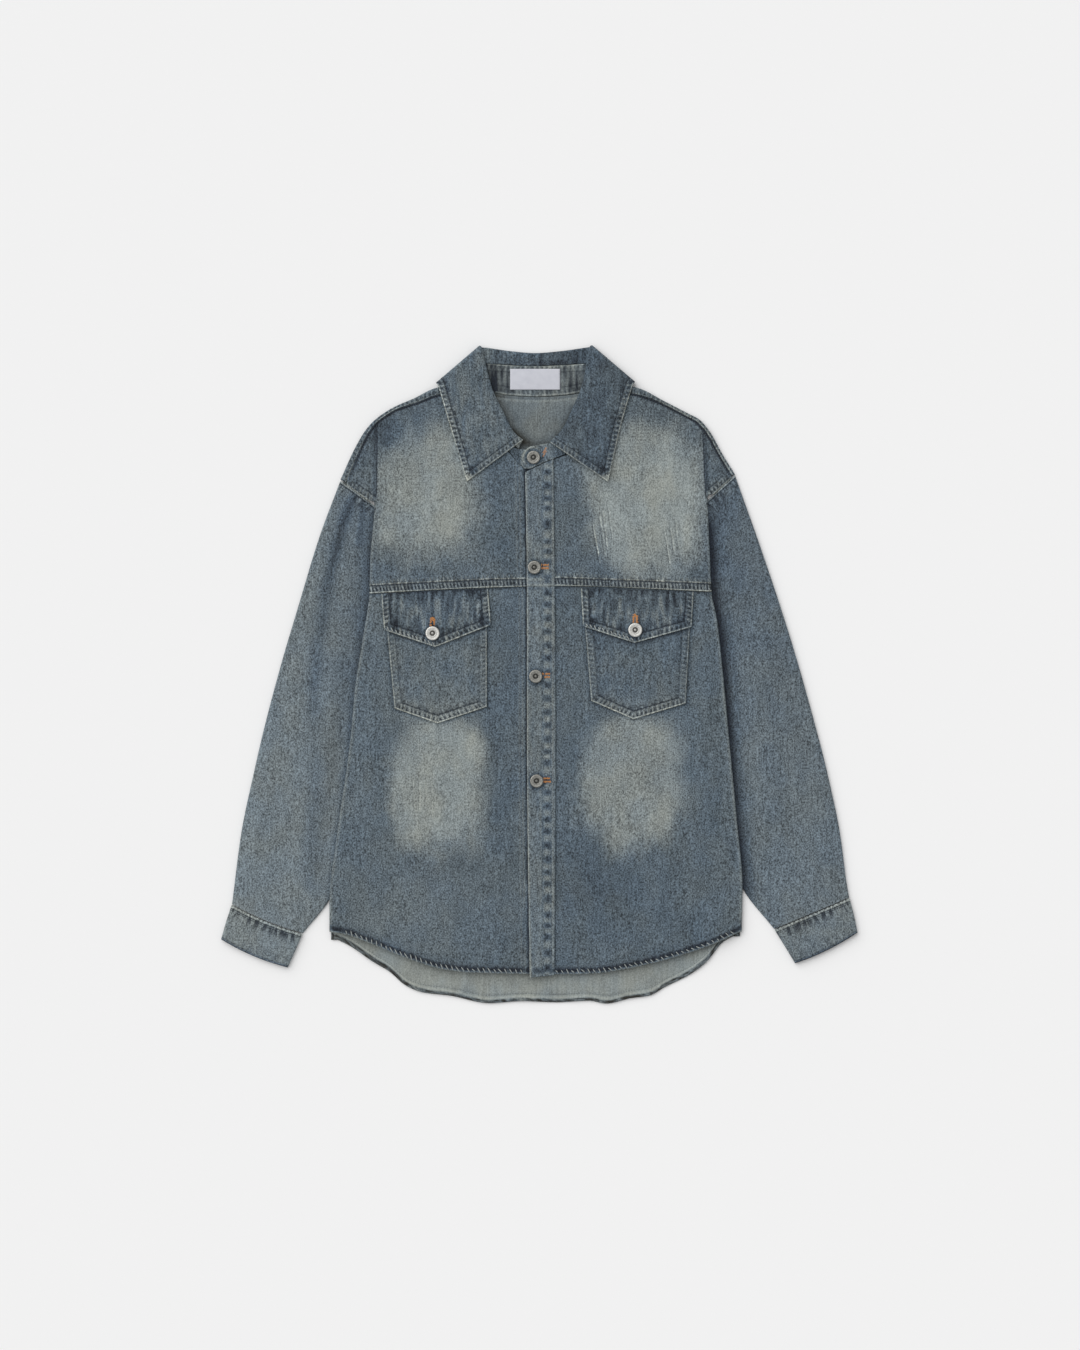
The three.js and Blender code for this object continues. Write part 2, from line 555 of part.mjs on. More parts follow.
function flatTube(side, sections, cloth, topAt) {
  const grid = sections.map(({ outer, inner, bow = 0 }) => {
    const from = new THREE.Vector3(side.sign * outer[0], outer[1], 0);
    const to = new THREE.Vector3(side.sign * inner[0], inner[1], 0);
    const width = from.distanceTo(to);
    const along = to.clone().sub(from).normalize();
    const down = new THREE.Vector3(-side.sign * along.y, side.sign * along.x, 0);
    down.multiplyScalar(-Math.sign(down.y));
    const low = cloth / 2;
    const place = (inside, z) => {
      const share = inside / width;
      const sag = bow * 4 * share * (1 - share);
      return from.clone().addScaledVector(along, inside).addScaledVector(down, sag).setZ(z);
    };
    const heightAt = (inside) => {
      const at = place(inside, 0);
      return topAt(at.x, at.y) - cloth / 2;
    };
    const end = (near, turn) => {
      const radius = (heightAt(near) - low) / 2;
      return { radius, centre: near - turn * (radius + cloth / 2) };
    };
    const start = end(0, -1);
    const finish = end(width, 1);
    const flat = (share) => THREE.MathUtils.lerp(start.centre, finish.centre, share);
    const arc = ({ radius, centre }, turn, degrees) => degrees.map((degree) => {
      const angle = THREE.MathUtils.degToRad(degree);
      return place(centre + turn * radius * Math.sin(angle), low + radius * (1 - Math.cos(angle)));
    });
    return [
      ...ACROSS.map((share) => place(flat(share), low)),
      ...arc(finish, 1, [45, 90, 135]),
      ...[...ACROSS].reverse().map((share) => place(flat(share), heightAt(flat(share)))),
      ...arc(start, -1, [135, 90, 45]),
    ];
  });
  const around = grid[0].map((_, k) => grid.map((ring) => ring[k]));
  return wall(around, () => cloth, true);
}

// How high the top of a sleeve is: pressed down under the body, and loose outside it
function sleeveTop(x, y) {
  const side = sideAt(x);
  const beyond = side.sign * x - edgeAt(side, y);
  const loose = smooth(28, 60, beyond);
  return THREE.MathUtils.lerp(SLEEVE_TOP_COVERED, SLEEVE_TOP_SHOWN, loose);
}

function sleeve(side) {
  const [first, ...rest] = side.sleeve;
  const lowered = { outer: [first.outer[0], first.outer[1] - 0.5], inner: [first.inner[0], first.inner[1] - 0.5] };
  return flatTube(side, [lowered, ...rest], CLOTH, sleeveTop);
}

const cuff = (side) => flatTube(side, side.cuff, CUFF_CLOTH, () => SLEEVE_TOP_SHOWN + 0.4);

// Collar and stand: sections run from the left front, round the back of the neck, to the right front

function collarColumns() {
  const { left, back, right } = COLLAR_SECTIONS;
  const atFront = (section, lift) => ({ ...section, turn: 0, lift });
  const turned = (section) => [45, 90, 135, 180].map((turn) => ({ ...section, turn, lift: 0 }));
  const leftTurn = turned(left[left.length - 1]);
  const rightTurn = turned(right[0]).reverse();
  const lifts = [0, 0, 0, 0.9, TAB_LIFT];
  return [
    ...left.map((section) => atFront(section, 0)),
    ...leftTurn,
    ...back.map((section) => ({ ...section, turn: 180, lift: 0 })),
    ...rightTurn,
    ...right.map((section, i) => atFront(section, lifts[i])),
  ];
}

// A point of the collar over a place in plan, on the outer layer (1), the inner one (-1) or between
function onCollar(column, place, outward, layer, beyond = null) {
  const angle = THREE.MathUtils.degToRad(column.turn);
  const normal = new THREE.Vector3(outward.x * Math.sin(angle), outward.y * Math.sin(angle), Math.cos(angle));
  const middle = (COLLAR_FRONT + COLLAR_BACK) / 2;
  const point = new THREE.Vector3(place[0], place[1], middle + column.lift);
  point.addScaledVector(normal, COLLAR_TURN + layer * LAYER);
  if (beyond) point.addScaledVector(beyond.way, beyond.by);
  return point;
}

// The direction away from the jacket, square to a line of the collar
function outwardFrom(inner, outer) {
  const line = new THREE.Vector2(outer[0] - inner[0], outer[1] - inner[1]).normalize();
  const away = new THREE.Vector2(-line.y, line.x);
  return away.y < 0 ? away.negate() : away;
}

function collarLeaf() {
  const turnPoints = [45, 90, 135].map((degrees) => THREE.MathUtils.degToRad(degrees));
  const grid = collarColumns().map((column) => {
    const outward = outwardFrom(column.edge, column.roll);
    const seamOutward = outwardFrom(column.neck, column.seam);
    const way = new THREE.Vector3(column.roll[0] - column.edge[0], column.roll[1] - column.edge[1], 0).normalize();
    const mid = (share) => column.roll.map((value, k) => THREE.MathUtils.lerp(value, column.edge[k], share));
    const arc = turnPoints.map((angle) => {
      const beyond = { way, by: LAYER * Math.sin(angle) };
      return onCollar(column, column.roll, outward, -Math.cos(angle), beyond);
    });
    return [
      onCollar(column, column.seam, seamOutward, -1),
      onCollar(column, column.roll, outward, -1),
      ...arc,
      onCollar(column, column.roll, outward, 1),
      ...[0.33, 0.66, 1].map((share) => onCollar(column, mid(share), outward, 1)),
    ];
  });
  return wall(grid, () => COLLAR_CLOTH);
}

function collarStand() {
  const ends = (sections, lift) => sections.map((section) => ({ ...section, turn: 0, lift }));
  const columns = [...ends(STAND_LEFT_END, 0), ...collarColumns(), ...ends(STAND_TAB, TAB_LIFT)];
  const grid = columns.map((column) => {
    const outward = outwardFrom(column.neck, column.seam);
    return [0, 0.5, 0.97].map((share) => {
      const place = column.neck.map((value, k) => THREE.MathUtils.lerp(value, column.seam[k], share));
      return onCollar(column, place, outward, -1);
    });
  });
  return wall(grid, () => COLLAR_CLOTH);
}

function neckLabel() {
  const geometry = new THREE.BoxGeometry(LABEL.width, LABEL.height, LABEL.cloth);
  const top = COLLAR_BACK + LAYER + COLLAR_CLOTH / 2;
  return geometry.translate(LABEL.x, LABEL.y, top + GAP + LABEL.cloth / 2);
}

// Placket, pockets and flaps lie on the fronts

function placket(from, to) {
  const rows = [0, 0.25, 0.5, 0.75, 1];
  const grid = [0, 0.12, 0.5, 0.88, 1].map((share) => rows.map((fall) => {
    const y = THREE.MathUtils.lerp(from(share), to(share), fall);
    const x = THREE.MathUtils.lerp(placketAt("left", y), placketAt("right", y), share);
    return new THREE.Vector3(x, y, FRONT_TOP + GAP + PLACKET_CLOTH / 2);
  }));
  return wall(grid, () => PLACKET_CLOTH);
}

const PLACKET_SEAM = 106.5;
const PLACKET_STEP = HEM_CLOTH - CLOTH + 0.1;

function placketUpper() {
  const top = (share) => THREE.MathUtils.lerp(PLACKET_TOP.left, PLACKET_TOP.right, share);
  return placket(top, () => PLACKET_SEAM).translate(0, 0, PLACKET_STEP);
}

function placketLower() {
  return placket(() => PLACKET_SEAM - GAP, (share) => -363 + 3 * share).translate(0, 0, PLACKET_STEP);
}

// A patch with two top corners and a pointed foot of three
function patch(side, shape, cloth, underAt) {
  const place = (corner) => new THREE.Vector2(side.sign * corner[0], corner[1]);
  const [topOut, topIn] = shape.top.map(place);
  const [footOut, point, footIn] = shape.foot.map(place);
  const grid = [0, 0.07, 0.25, 0.5, 0.75, 0.93, 1].map((share) => {
    const top = topOut.clone().lerp(topIn, share);
    const half = share < 0.5 ? footOut.clone().lerp(point, share * 2) : point.clone().lerp(footIn, share * 2 - 1);
    return [0, 0.15, 0.35, 0.6, 0.85, 1].map((fall) => {
      const at = top.clone().lerp(half, fall);
      return new THREE.Vector3(at.x, at.y, underAt(at.y) + cloth / 2);
    });
  });
  return wall(grid, () => cloth);
}

const POCKET_UNDER = FRONT_TOP + GAP;
const FLAP_UNDER = POCKET_UNDER + CLOTH + GAP;
const flapUnder = (y) => THREE.MathUtils.lerp(FLAP_UNDER, POCKET_UNDER, smooth(86, 100, y));
const pocket = (side) => patch(side, side.pocket, CLOTH, () => POCKET_UNDER);
const flap = (side) => patch(side, side.flap, CLOTH, flapUnder);

// Shank buttons: a rim round a dished middle, on a short shank
function button(radius, { x, y }, seat) {
  const rows = [
    [0, 0], [2.6, 0], [2.6, 0.8], [radius - 0.6, 0.8], [radius, 1.4], [radius, 2.1], [radius - 1, 2.8],
    [radius - 3.4, 2.8], [radius - 4.4, 1.9], [1.2, 1.9], [0.8, 2.3], [0, 2.3],
  ];
  const profile = rows.map(([across, height]) => new THREE.Vector2(across, height));
  const geometry = new THREE.LatheGeometry(profile, 14);
  geometry.rotateX(Math.PI / 2);
  return geometry.translate(x, y, seat + GAP);
}

// The jacket

const jacket = new THREE.Group();

function add(name, geometry, finish) {
  const mesh = new THREE.Mesh(geometry, new THREE.MeshStandardMaterial(FINISH[finish]));
  mesh.name = name;
  jacket.add(mesh);
}

add("back_panel", backPanel(), "body");
for (const [name, side] of Object.entries(SIDES)) {
  add(`front_yoke_${name}`, frontYoke(side), "body");
  add(`front_lower_${name}`, frontLower(side), "body");
  add(`sleeve_${name}`, sleeve(side), "sleeve");
  add(`cuff_${name}`, cuff(side), "trim");
  add(`pocket_${name}`, pocket(side), "trim");
  add(`flap_${name}`, flap(side), "trim");
  add(`flap_button_${name}`, button(FLAP_BUTTON_RADIUS, FLAP_BUTTONS[name], FLAP_UNDER + CLOTH), "metal");
}
add("placket_upper", placketUpper(), "trim");
add("placket_lower", placketLower(), "trim");
add("collar_leaf", collarLeaf(), "trim");
add("collar_stand", collarStand(), "trim");
add("neck_label", neckLabel(), "label");
FRONT_BUTTONS.forEach((place, i) => {
  const tabTop = COLLAR_FRONT - LAYER + TAB_LIFT + COLLAR_CLOTH / 2;
  const placketTop = FRONT_TOP + GAP + PLACKET_STEP + PLACKET_CLOTH;
  add(`button_${i + 1}`, button(BUTTON_RADIUS, place, i === 0 ? tabTop : placketTop), "metal");
});

const middle = new THREE.Box3().setFromObject(jacket).getCenter(new THREE.Vector3());
jacket.position.set(-middle.x, -middle.y, 0);

export default jacket;
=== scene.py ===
import math
import random
from math import cos, exp, hypot, pi, sin

import bmesh
import bpy
import numpy as np
from mathutils import Matrix, Vector, noise
from mathutils.bvhtree import BVHTree


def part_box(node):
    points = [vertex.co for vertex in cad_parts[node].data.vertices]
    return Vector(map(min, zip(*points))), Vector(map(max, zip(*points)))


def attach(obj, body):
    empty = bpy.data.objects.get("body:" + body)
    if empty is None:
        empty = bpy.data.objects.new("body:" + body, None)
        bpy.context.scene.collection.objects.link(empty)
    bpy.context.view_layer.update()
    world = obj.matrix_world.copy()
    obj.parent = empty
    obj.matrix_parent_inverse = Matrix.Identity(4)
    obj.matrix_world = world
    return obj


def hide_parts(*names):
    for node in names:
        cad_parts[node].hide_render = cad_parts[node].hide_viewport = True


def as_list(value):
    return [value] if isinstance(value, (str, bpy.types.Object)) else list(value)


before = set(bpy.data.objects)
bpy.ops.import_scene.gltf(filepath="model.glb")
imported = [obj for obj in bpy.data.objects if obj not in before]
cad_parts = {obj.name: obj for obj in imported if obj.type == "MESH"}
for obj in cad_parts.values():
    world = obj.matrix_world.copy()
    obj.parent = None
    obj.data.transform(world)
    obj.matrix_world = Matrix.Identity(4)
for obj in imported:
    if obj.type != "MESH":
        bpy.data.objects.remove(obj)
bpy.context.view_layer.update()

# A washed denim shirt jacket lying on its back. Tables are in millimetres, meshes in metres.
# "out" is the distance from the centre line, towards that side's sleeve.
mm = 0.001
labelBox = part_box("neck_label")
shift = (Vector(labelBox[0]) + Vector(labelBox[1])) / 2 - Vector((-5, 355, 0)) * mm
shift.z = 0
random.seed(11)

sides = {
    "left": {
        "sign": -1, "capFoot": 207,
        "edge": [(-308, 252), (-271, 252), (-199, 244), (-78, 227), (-13, 221), (44, 212), (100, 204),
                 (138, 203), (203, 198), (299, 196.5)],
        "shoulder": [(90, 351, 9), (108, 348, 9), (125, 344.5, 8.5), (150, 332.5, 6), (175, 321.5, 3.6),
                     (195, 308.5, 3.6), (208, 295, 4.5), (221, 273.5, 6), (239, 234.5, 7.5)],
        "sleeve": [((239, 232.9), (88, 124.5)), ((264, 166), (113, 78)), ((289, 84), (141, 22)),
                   ((309.5, 15), (162, -36)), ((329.5, -60), (185, -96)), ((343, -118), (203, -142)),
                   ((358, -190), (227, -205)), ((366.5, -255), (250, -266)), ((369, -275), (284, -310), 2.8)],
        "cuff": [((369.5, -276), (284.5, -311), 2.8), ((376, -296), (293, -331), 1.8),
                 ((382, -317), (302, -351), 3.5)],
        "neck": [(18, 250), (38, 268.5), (62, 288), (82, 320), (86, 341.3)],
        "pocket": ((185, 79), (63, 80), (173.5, -40), (122, -58), (63, -38)),
        "flap": ((189.5, 97.6), (61.6, 103.4), (186, 54), (125, 33.6), (58, 60)),
    },
    "right": {
        "sign": 1, "capFoot": 214,
        "edge": [(-308, 243), (-253, 244), (-172, 237), (-77, 228), (16, 219), (61, 214), (100, 207),
                 (138, 205), (211, 202), (299, 198)],
        "shoulder": [(86, 352, 9), (106, 348, 9), (122, 343.5, 7.5), (150, 329, 3.6), (178, 314.5, 3.6),
                     (192, 307, 3.6), (205, 292, 3.6), (219, 267, 3.6), (235, 241, 3.6)],
        "sleeve": [((235, 239.5), (100, 117.5)), ((265, 155), (124, 68)), ((289.5, 82), (146, 8)),
                   ((307, 26), (163, -42)), ((328.5, -50), (185, -98)), ((346, -118), (203, -143)),
                   ((361, -190), (224, -202)), ((369, -250), (243, -254)), ((372, -267), (282, -305))],
        "cuff": [((372.5, -268), (282.5, -306), 0), ((378, -289), (295, -326), 1.5),
                 ((382, -309), (307, -346), 3)],
        "neck": [(17, 258.5), (45, 270), (66, 293), (79, 323), (82, 341.6)],
        "pocket": ((181.7, 79), (53, 80), (175.6, -34), (113, -53), (62.4, -31)),
        "flap": ((185, 99.6), (50, 104), (182.5, 57.6), (114.4, 38.5), (52.4, 58.4)),
    },
}
backNeck = [(-86, 342.6), (-72, 341), (-38, 335.3), (-5, 333.5), (30, 335.3), (66, 341), (82.1, 343)]
yokeFoot = [(-210, 97.6), (-61, 105), (25, 107), (210, 100)]
frontHem = [(-252, -308), (-230, -312), (-203, -322), (-153, -342), (-116, -353), (-80, -357), (20, -359),
            (68, -358), (102, -353), (135, -346), (203, -325), (243, -307)]
backHem = [(-250, -314), (-226, -326), (-200, -344), (-180, -356), (-160, -373), (-140, -381), (-107, -385),
           (-60, -394), (-20, -391.5), (20, -393), (60, -391), (80, -394.5), (110, -388), (132, -385),
           (150, -375), (180, -360), (200, -345), (220, -321), (241, -310)]
placketLeft = [(-363, -11.6), (-100, -14.8), (106, -15), (262, -17.4)]
placketRight = [(-363, 18.2), (-100, 19.6), (106, 18.5), (262, 16.8)]
collarFree = [(-122, 347), (-95, 336), (-60, 329), (50, 329), (85, 338), (112, 349)]

heights = {"foldTop": 299, "capCorner": 262, "yokeTop": 98, "hemCorner": -308, "backCorner": -312}
layers = {"shell": 1.1, "cloth": 1.2, "overSleeve": 3.3, "overCollar": 1.9, "frontUnder": 4.9,
          "capDrop": 2.3, "roll": 1.6}


# Small sums for tables and lines

def sideOf(x):
    return sides["left" if x < 0 else "right"]


def placed(side, rows):  # points by their distance out, on that side
    return [(side["sign"] * row[0], row[1]) for row in rows]


def smooth(low, high, value):
    t = min(max((value - low) / (high - low), 0), 1)
    return t * t * (3 - 2 * t)


def lerp(a, b, t):
    return a + (b - a) * t


def bell(value, middle, width):
    return exp(-((value - middle) / width) ** 2)


def rough(*place):
    return noise.noise(place)


def steady(rows, at, column=1):  # a smooth line through a table's points, never past them
    if at <= rows[0][0]:
        return rows[0][column]
    if at >= rows[-1][0]:
        return rows[-1][column]
    i = next(k for k in range(1, len(rows)) if rows[k][0] >= at) - 1

    def rise(k):
        return (rows[k + 1][column] - rows[k][column]) / (rows[k + 1][0] - rows[k][0])

    def slope(k):
        if k == 0 or k == len(rows) - 1:
            return rise(min(k, len(rows) - 2))
        before, after = rise(k - 1), rise(k)
        return 0 if before * after <= 0 else 2 * before * after / (before + after)

    width = rows[i + 1][0] - rows[i][0]
    t = (at - rows[i][0]) / width
    start, end = rows[i][column], rows[i + 1][column]
    bend = (t ** 3 - 2 * t * t + t) * slope(i) + (t ** 3 - t * t) * slope(i + 1)
    return start + (end - start) * t * t * (3 - 2 * t) + width * bend


def toLine(points, x, y):  # the distance to a line of points
    best = 1e9
    for (ax, ay), (bx, by) in zip(points, points[1:]):
        dx, dy = bx - ax, by - ay
        t = min(max(((x - ax) * dx + (y - ay) * dy) / (dx * dx + dy * dy), 0), 1)
        best = min(best, hypot(ax + dx * t - x, ay + dy * t - y))
    return best


def evenSteps(first, last, step, fineEnds=(0, 0), fineStep=1.0):  # shares from 0 to 1, closer near the ends
    length = abs(last - first)
    places = [0.0]
    while places[-1] < length:
        at = places[-1]
        isFine = at < fineEnds[0] or at > length - fineEnds[1] - step
        places.append(at + (fineStep if isFine else step))
    return [p / places[-1] for p in places]


# Heights of the layers, and the soft unevenness of the cloth that lies on them

def edgeAt(side, y):
    return steady(side["edge"], y)


def foldAt(side, y):
    return edgeAt(side, y) - layers["roll"] - layers["cloth"] / 2


def capShare(side, out, y):
    return smooth(0, 5, out - foldAt(side, y)) * smooth(side["capFoot"], side["capFoot"] + 8, y)


def sleeveCover(side, out, y):
    inner = [side["sleeve"][0][0]] + [row[1] for row in side["sleeve"][:-1]]
    lowest = inner[-1][1]
    if out > inner[0][0] or y < lowest:
        within = False
    else:
        line = sorted((row[1], row[0]) for row in inner)
        within = y < inner[0][1] and out > steady(line, y)
    return 1 if within else 1 - smooth(22, 60, toLine(inner, out, y))


def collarCover(x, y):
    if collarFree[0][0] < x < collarFree[-1][0] and y > steady(collarFree, x):
        return 1
    return 1 - smooth(12, 44, toLine(collarFree, x, y))


def backUnder(x, y):
    side = sideOf(x)
    onSleeve = layers["overSleeve"] * sleeveCover(side, abs(x), y) * (1 - capShare(side, abs(x), y))
    onCollar = layers["overCollar"] * collarCover(x, y) if y > 260 else 0
    return max(onSleeve, onCollar)


def frontUnder(side, out, y):
    return layers["frontUnder"] - layers["capDrop"] * capShare(side, out, y) * (1 - smooth(255, 297, y))


def creased(creases, x, y):  # soft ridges and troughs, listed one by one: two ends, width and height
    total = 0
    for ax, ay, bx, by, width, height in creases:
        dx, dy = bx - ax, by - ay
        t = ((x - ax) * dx + (y - ay) * dy) / (dx * dx + dy * dy)
        if -0.15 < t < 1.15:
            away = abs((x - ax) * dy - (y - ay) * dx) / hypot(dx, dy)
            if away < 2.6 * width:
                ends = smooth(-0.15, 0.3, t) * (1 - smooth(0.7, 1.15, t))
                total += height * ends * exp(-(away / width) ** 2)
    return total


body = {
    "lift": 1.1, "swell": 1.1, "ripple": 0.45,
    "creases": [
        (-185, 290, -160, 150, 9, -1.3), (-120, 240, -140, 120, 13, 1.0), (-60, 225, -30, 130, 7, -1.2),
        (-42, 235, -24, 175, 4, 1.3), (-196, 130, -120, 118, 8, -0.9), (185, 262, 160, 140, 10, -1.2),
        (211, 285, 206, 232, 5, 1.4), (120, 235, 135, 125, 14, 1.0), (60, 215, 32, 140, 8, -1.0),
        (-205, 20, -190, -130, 8, 1.4), (-226, -60, -214, -250, 7, -1.2), (-60, 10, -36, -150, 10, -0.9),
        (-130, -75, -150, -250, 16, 1.2), (-45, -190, -70, -330, 12, 1.1), (-180, -200, -150, -330, 14, -1.1),
        (205, 30, 196, -110, 8, 1.3), (224, -90, 214, -240, 7, -1.2), (58, 0, 40, -160, 10, -0.9),
        (110, -70, 140, -230, 15, 1.1), (60, -180, 84, -330, 12, 1.1), (178, -190, 160, -320, 13, -1.1),
        (-200, 92, -192, 20, 6, 1.0), (198, 92, 192, 28, 6, 0.9),
    ],
}


def bodyRelief(x, y):
    side = sideOf(x)
    inside = foldAt(side, y) - abs(x)
    calm = smooth(0, 24, inside) * smooth(60, 150, hypot(x, y - 320))
    swell = rough(x / 85, y / 120, 3.1) * body["swell"]
    ripple = rough(x / 30, y / 52, 7.7) * body["ripple"]
    return max(0, body["lift"] + swell + ripple + creased(body["creases"], x, y)) * calm


# Fading of the wash, from 0 on the dark ground to 1 where it is worn pale. The same value also carries
# painted shade (below 0, towards the deep tone) and painted highlights, added in each piece's own function
# below.

wash = {
    "ground": 0.065,
    "patches": [  # middle, half size, how pale, how soft its edge is, lean of its middle with height
        ((-137, 220), (68, 86), 0.64, 0.42, 0.06),
        ((-110, 190), (30, 34), 0.16, 0.9, 0),
        ((128, 209), (76, 90), 0.82, 0.42, -0.1),
        ((165, 200), (24, 50), 0.12, 0.9, 0),
        ((-122, -128), (60, 86), 0.71, 0.34, -0.05),
        ((-118, -170), (36, 34), 0.17, 0.9, 0),
        ((-88, -78), (22, 34), 0.18, 0.9, 0),
        ((110, -128), (68, 84), 0.54, 0.32, 0.06),
        ((150, -160), (22, 34), 0.14, 0.9, 0),
        ((145, -72), (22, 30), 0.12, 0.9, 0),
    ],
    "clouds": [  # soft darker or paler places elsewhere: middle, half size, how much
        (-35, 170, 26, 120, -0.06), (-38, -150, 20, 150, -0.05), (32, 90, 22, 60, -0.06),
        (40, -60, 20, 60, -0.04), (60, -240, 36, 70, -0.10), (-196, 60, 26, 120, 0.05),
        (-215, -150, 24, 110, 0.05),
        (205, 40, 20, 60, 0.03), (95, -262, 70, 26, -0.05), (178, -300, 50, 30, -0.05),
        (-150, 25, 40, 26, -0.03),
        (-190, 135, 26, 26, -0.07), (200, 105, 30, 20, -0.08), (-180, 300, 26, 22, -0.05),
        (60, 300, 40, 30, -0.03), (-150, -350, 60, 16, -0.04), (-150, -290, 60, 46, 0.12),
        (-174, 290, 34, 24, -0.30), (120, -300, 50, 60, -0.05),
    ],
}


def bodyFade(x, y):
    washAndShade = wash["ground"] + 0.04 * rough(x / 40, y / 60, 1.5)
    for atX, atY, halfX, halfY, much in wash["clouds"]:
        reach = ((x - atX) / halfX) ** 2 + ((y - atY) / halfY) ** 2
        if reach < 6:
            washAndShade += much * exp(-reach)
    side = sideOf(x)
    inFold = smooth(2, -4, abs(x) - foldAt(side, y))
    for at, half, pale, soft, lean in wash["patches"]:
        dy = (y - at[1]) / half[1]
        dx = (x - at[0]) / half[0] - lean * dy
        if abs(dx) < 1.8 and abs(dy) < 1.8:
            wander = 0.2 * rough(x / 30, y / 44, 9.2) + 0.08 * rough(x / 9, y / 14, 3.2)
            reach = (abs(dx) ** 2.8 + abs(dy) ** 2.8) ** (1 / 2.8) + wander
            share = 1 - smooth(1 - soft, 1 + soft * 0.5, reach)
            cloudy = 0.9 + 0.26 * rough(x / 22, y / 34, 4.4) + 0.12 * rough(x / 8, y / 24, 1.4)
            washAndShade += pale * share * cloudy * (0.25 + 0.75 * inFold)
    return washAndShade


# Shader maths: sums on sockets are written as Python sums

class Tone:
    def __init__(self, finish, socket):
        self.finish = finish
        self.socket = socket


def addOperator(word, order):
    setattr(Tone, f"__{word}__", lambda tone, other: tone.finish.sum(order, tone, other))
    setattr(Tone, f"__r{word}__", lambda tone, other: tone.finish.sum(order, other, tone))


for word, order in (("add", "ADD"), ("sub", "SUBTRACT"), ("mul", "MULTIPLY"), ("truediv", "DIVIDE")):
    addOperator(word, order)


class Finish:
    def __init__(self, name):
        self.material = bpy.data.materials.new(name)
        self.material.use_nodes = True
        self.tree = self.material.node_tree
        self.tree.nodes.clear()
        self.place = self.node("ShaderNodeTexCoord", {}, {}, 3)

    def node(self, kind, settings=None, values=None, output=0):
        made = self.tree.nodes.new(kind)
        for key, value in (settings or {}).items():
            if key == "stops":
                for i, (at, colour) in enumerate(value):
                    stop = made.color_ramp.elements[i] if i < 2 else made.color_ramp.elements.new(at)
                    stop.position = at
                    stop.color = colour
            else:
                setattr(made, key, value)
        for key, value in (values or {}).items():
            if isinstance(value, Tone):
                self.tree.links.new(value.socket, made.inputs[key])
            else:
                made.inputs[key].default_value = value
        return Tone(self, made.outputs[output]) if made.outputs else None

    def step(self, low, high, value):  # 0 under low, 1 over high, soft between
        values = {"Value": value, "From Min": low, "From Max": high, "To Min": 0.0, "To Max": 1.0}
        return self.node("ShaderNodeMapRange", {"interpolation_type": "SMOOTHSTEP"}, values)

    def ring(self, middle, width, value):  # 1 at the middle, 0 a width away
        return 1 - self.step(0.0, width, self.sum("ABSOLUTE", value - middle))

    def sum(self, operation, *values):
        return self.node("ShaderNodeMath", {"operation": operation}, dict(enumerate(values)))

    def scaled(self, tone, share):
        return self.node("ShaderNodeVectorMath", {"operation": "SCALE"}, {0: tone, "Scale": share})

    def blend(self, share, first, second, free=False):
        settings = {"data_type": "RGBA", "clamp_factor": not free}
        return self.node("ShaderNodeMix", settings, {0: share, 6: first, 7: second}, 2)

    def kept(self, name, output=2):  # a value that the mesh keeps
        return self.node("ShaderNodeAttribute", {"attribute_name": name}, {}, output)

    def axis(self, tone, output):
        return self.node("ShaderNodeSeparateXYZ", {}, {0: tone}, output)

    def noise(self, place, scale=1.0, detail=0.0):
        return self.node("ShaderNodeTexNoise", {}, {"Vector": place, "Scale": scale, "Detail": detail})

    def along(self, x, y, z, detail):  # noise in a space of its own
        return self.noise(self.node("ShaderNodeCombineXYZ", {}, {0: x, 1: y, 2: z}), detail=detail)

    def grain(self, scale, stretch=(1, 1, 1), detail=2.0, offset=(0, 0, 0)):
        values = {"Vector": self.place, "Scale": stretch, "Location": offset}
        return self.noise(self.node("ShaderNodeMapping", {}, values), scale, detail)

    def wave(self, direction, scale, values=None):
        values = {"Vector": self.place, "Scale": scale, **(values or {})}
        return self.node("ShaderNodeTexWave", {"bands_direction": direction}, values)

    def close(self, tone, roughness, bump=None, values=None):  # bump: strength, distance and height
        values = {"Base Color": tone, "Roughness": roughness, **(values or {})}
        if bump:
            named = dict(zip(("Strength", "Distance", "Height"), bump))
            values["Normal"] = self.node("ShaderNodeBump", {}, named)
        shader = self.node("ShaderNodeBsdfPrincipled", {}, values)
        self.node("ShaderNodeOutputMaterial", {}, {"Surface": shader})
        return self.material


def colour(red, green, blue):  # a colour as a screen shows it, made linear
    def linear(value):
        value /= 255
        return value / 12.92 if value <= 0.04045 else ((value + 0.055) / 1.055) ** 2.4
    return (linear(red), linear(green), linear(blue), 1)


# The worn colour is also the tone of painted highlights, and the deep colour the tone of painted shade.
denimLook = {
    "ground": colour(84, 96, 105), "worn": colour(150, 156, 152), "deep": colour(36, 42, 50),
    "pale": colour(172, 178, 172), "speck": 3.2, "second": 0.75, "streak": 0.7, "cloud": 0.17,
}


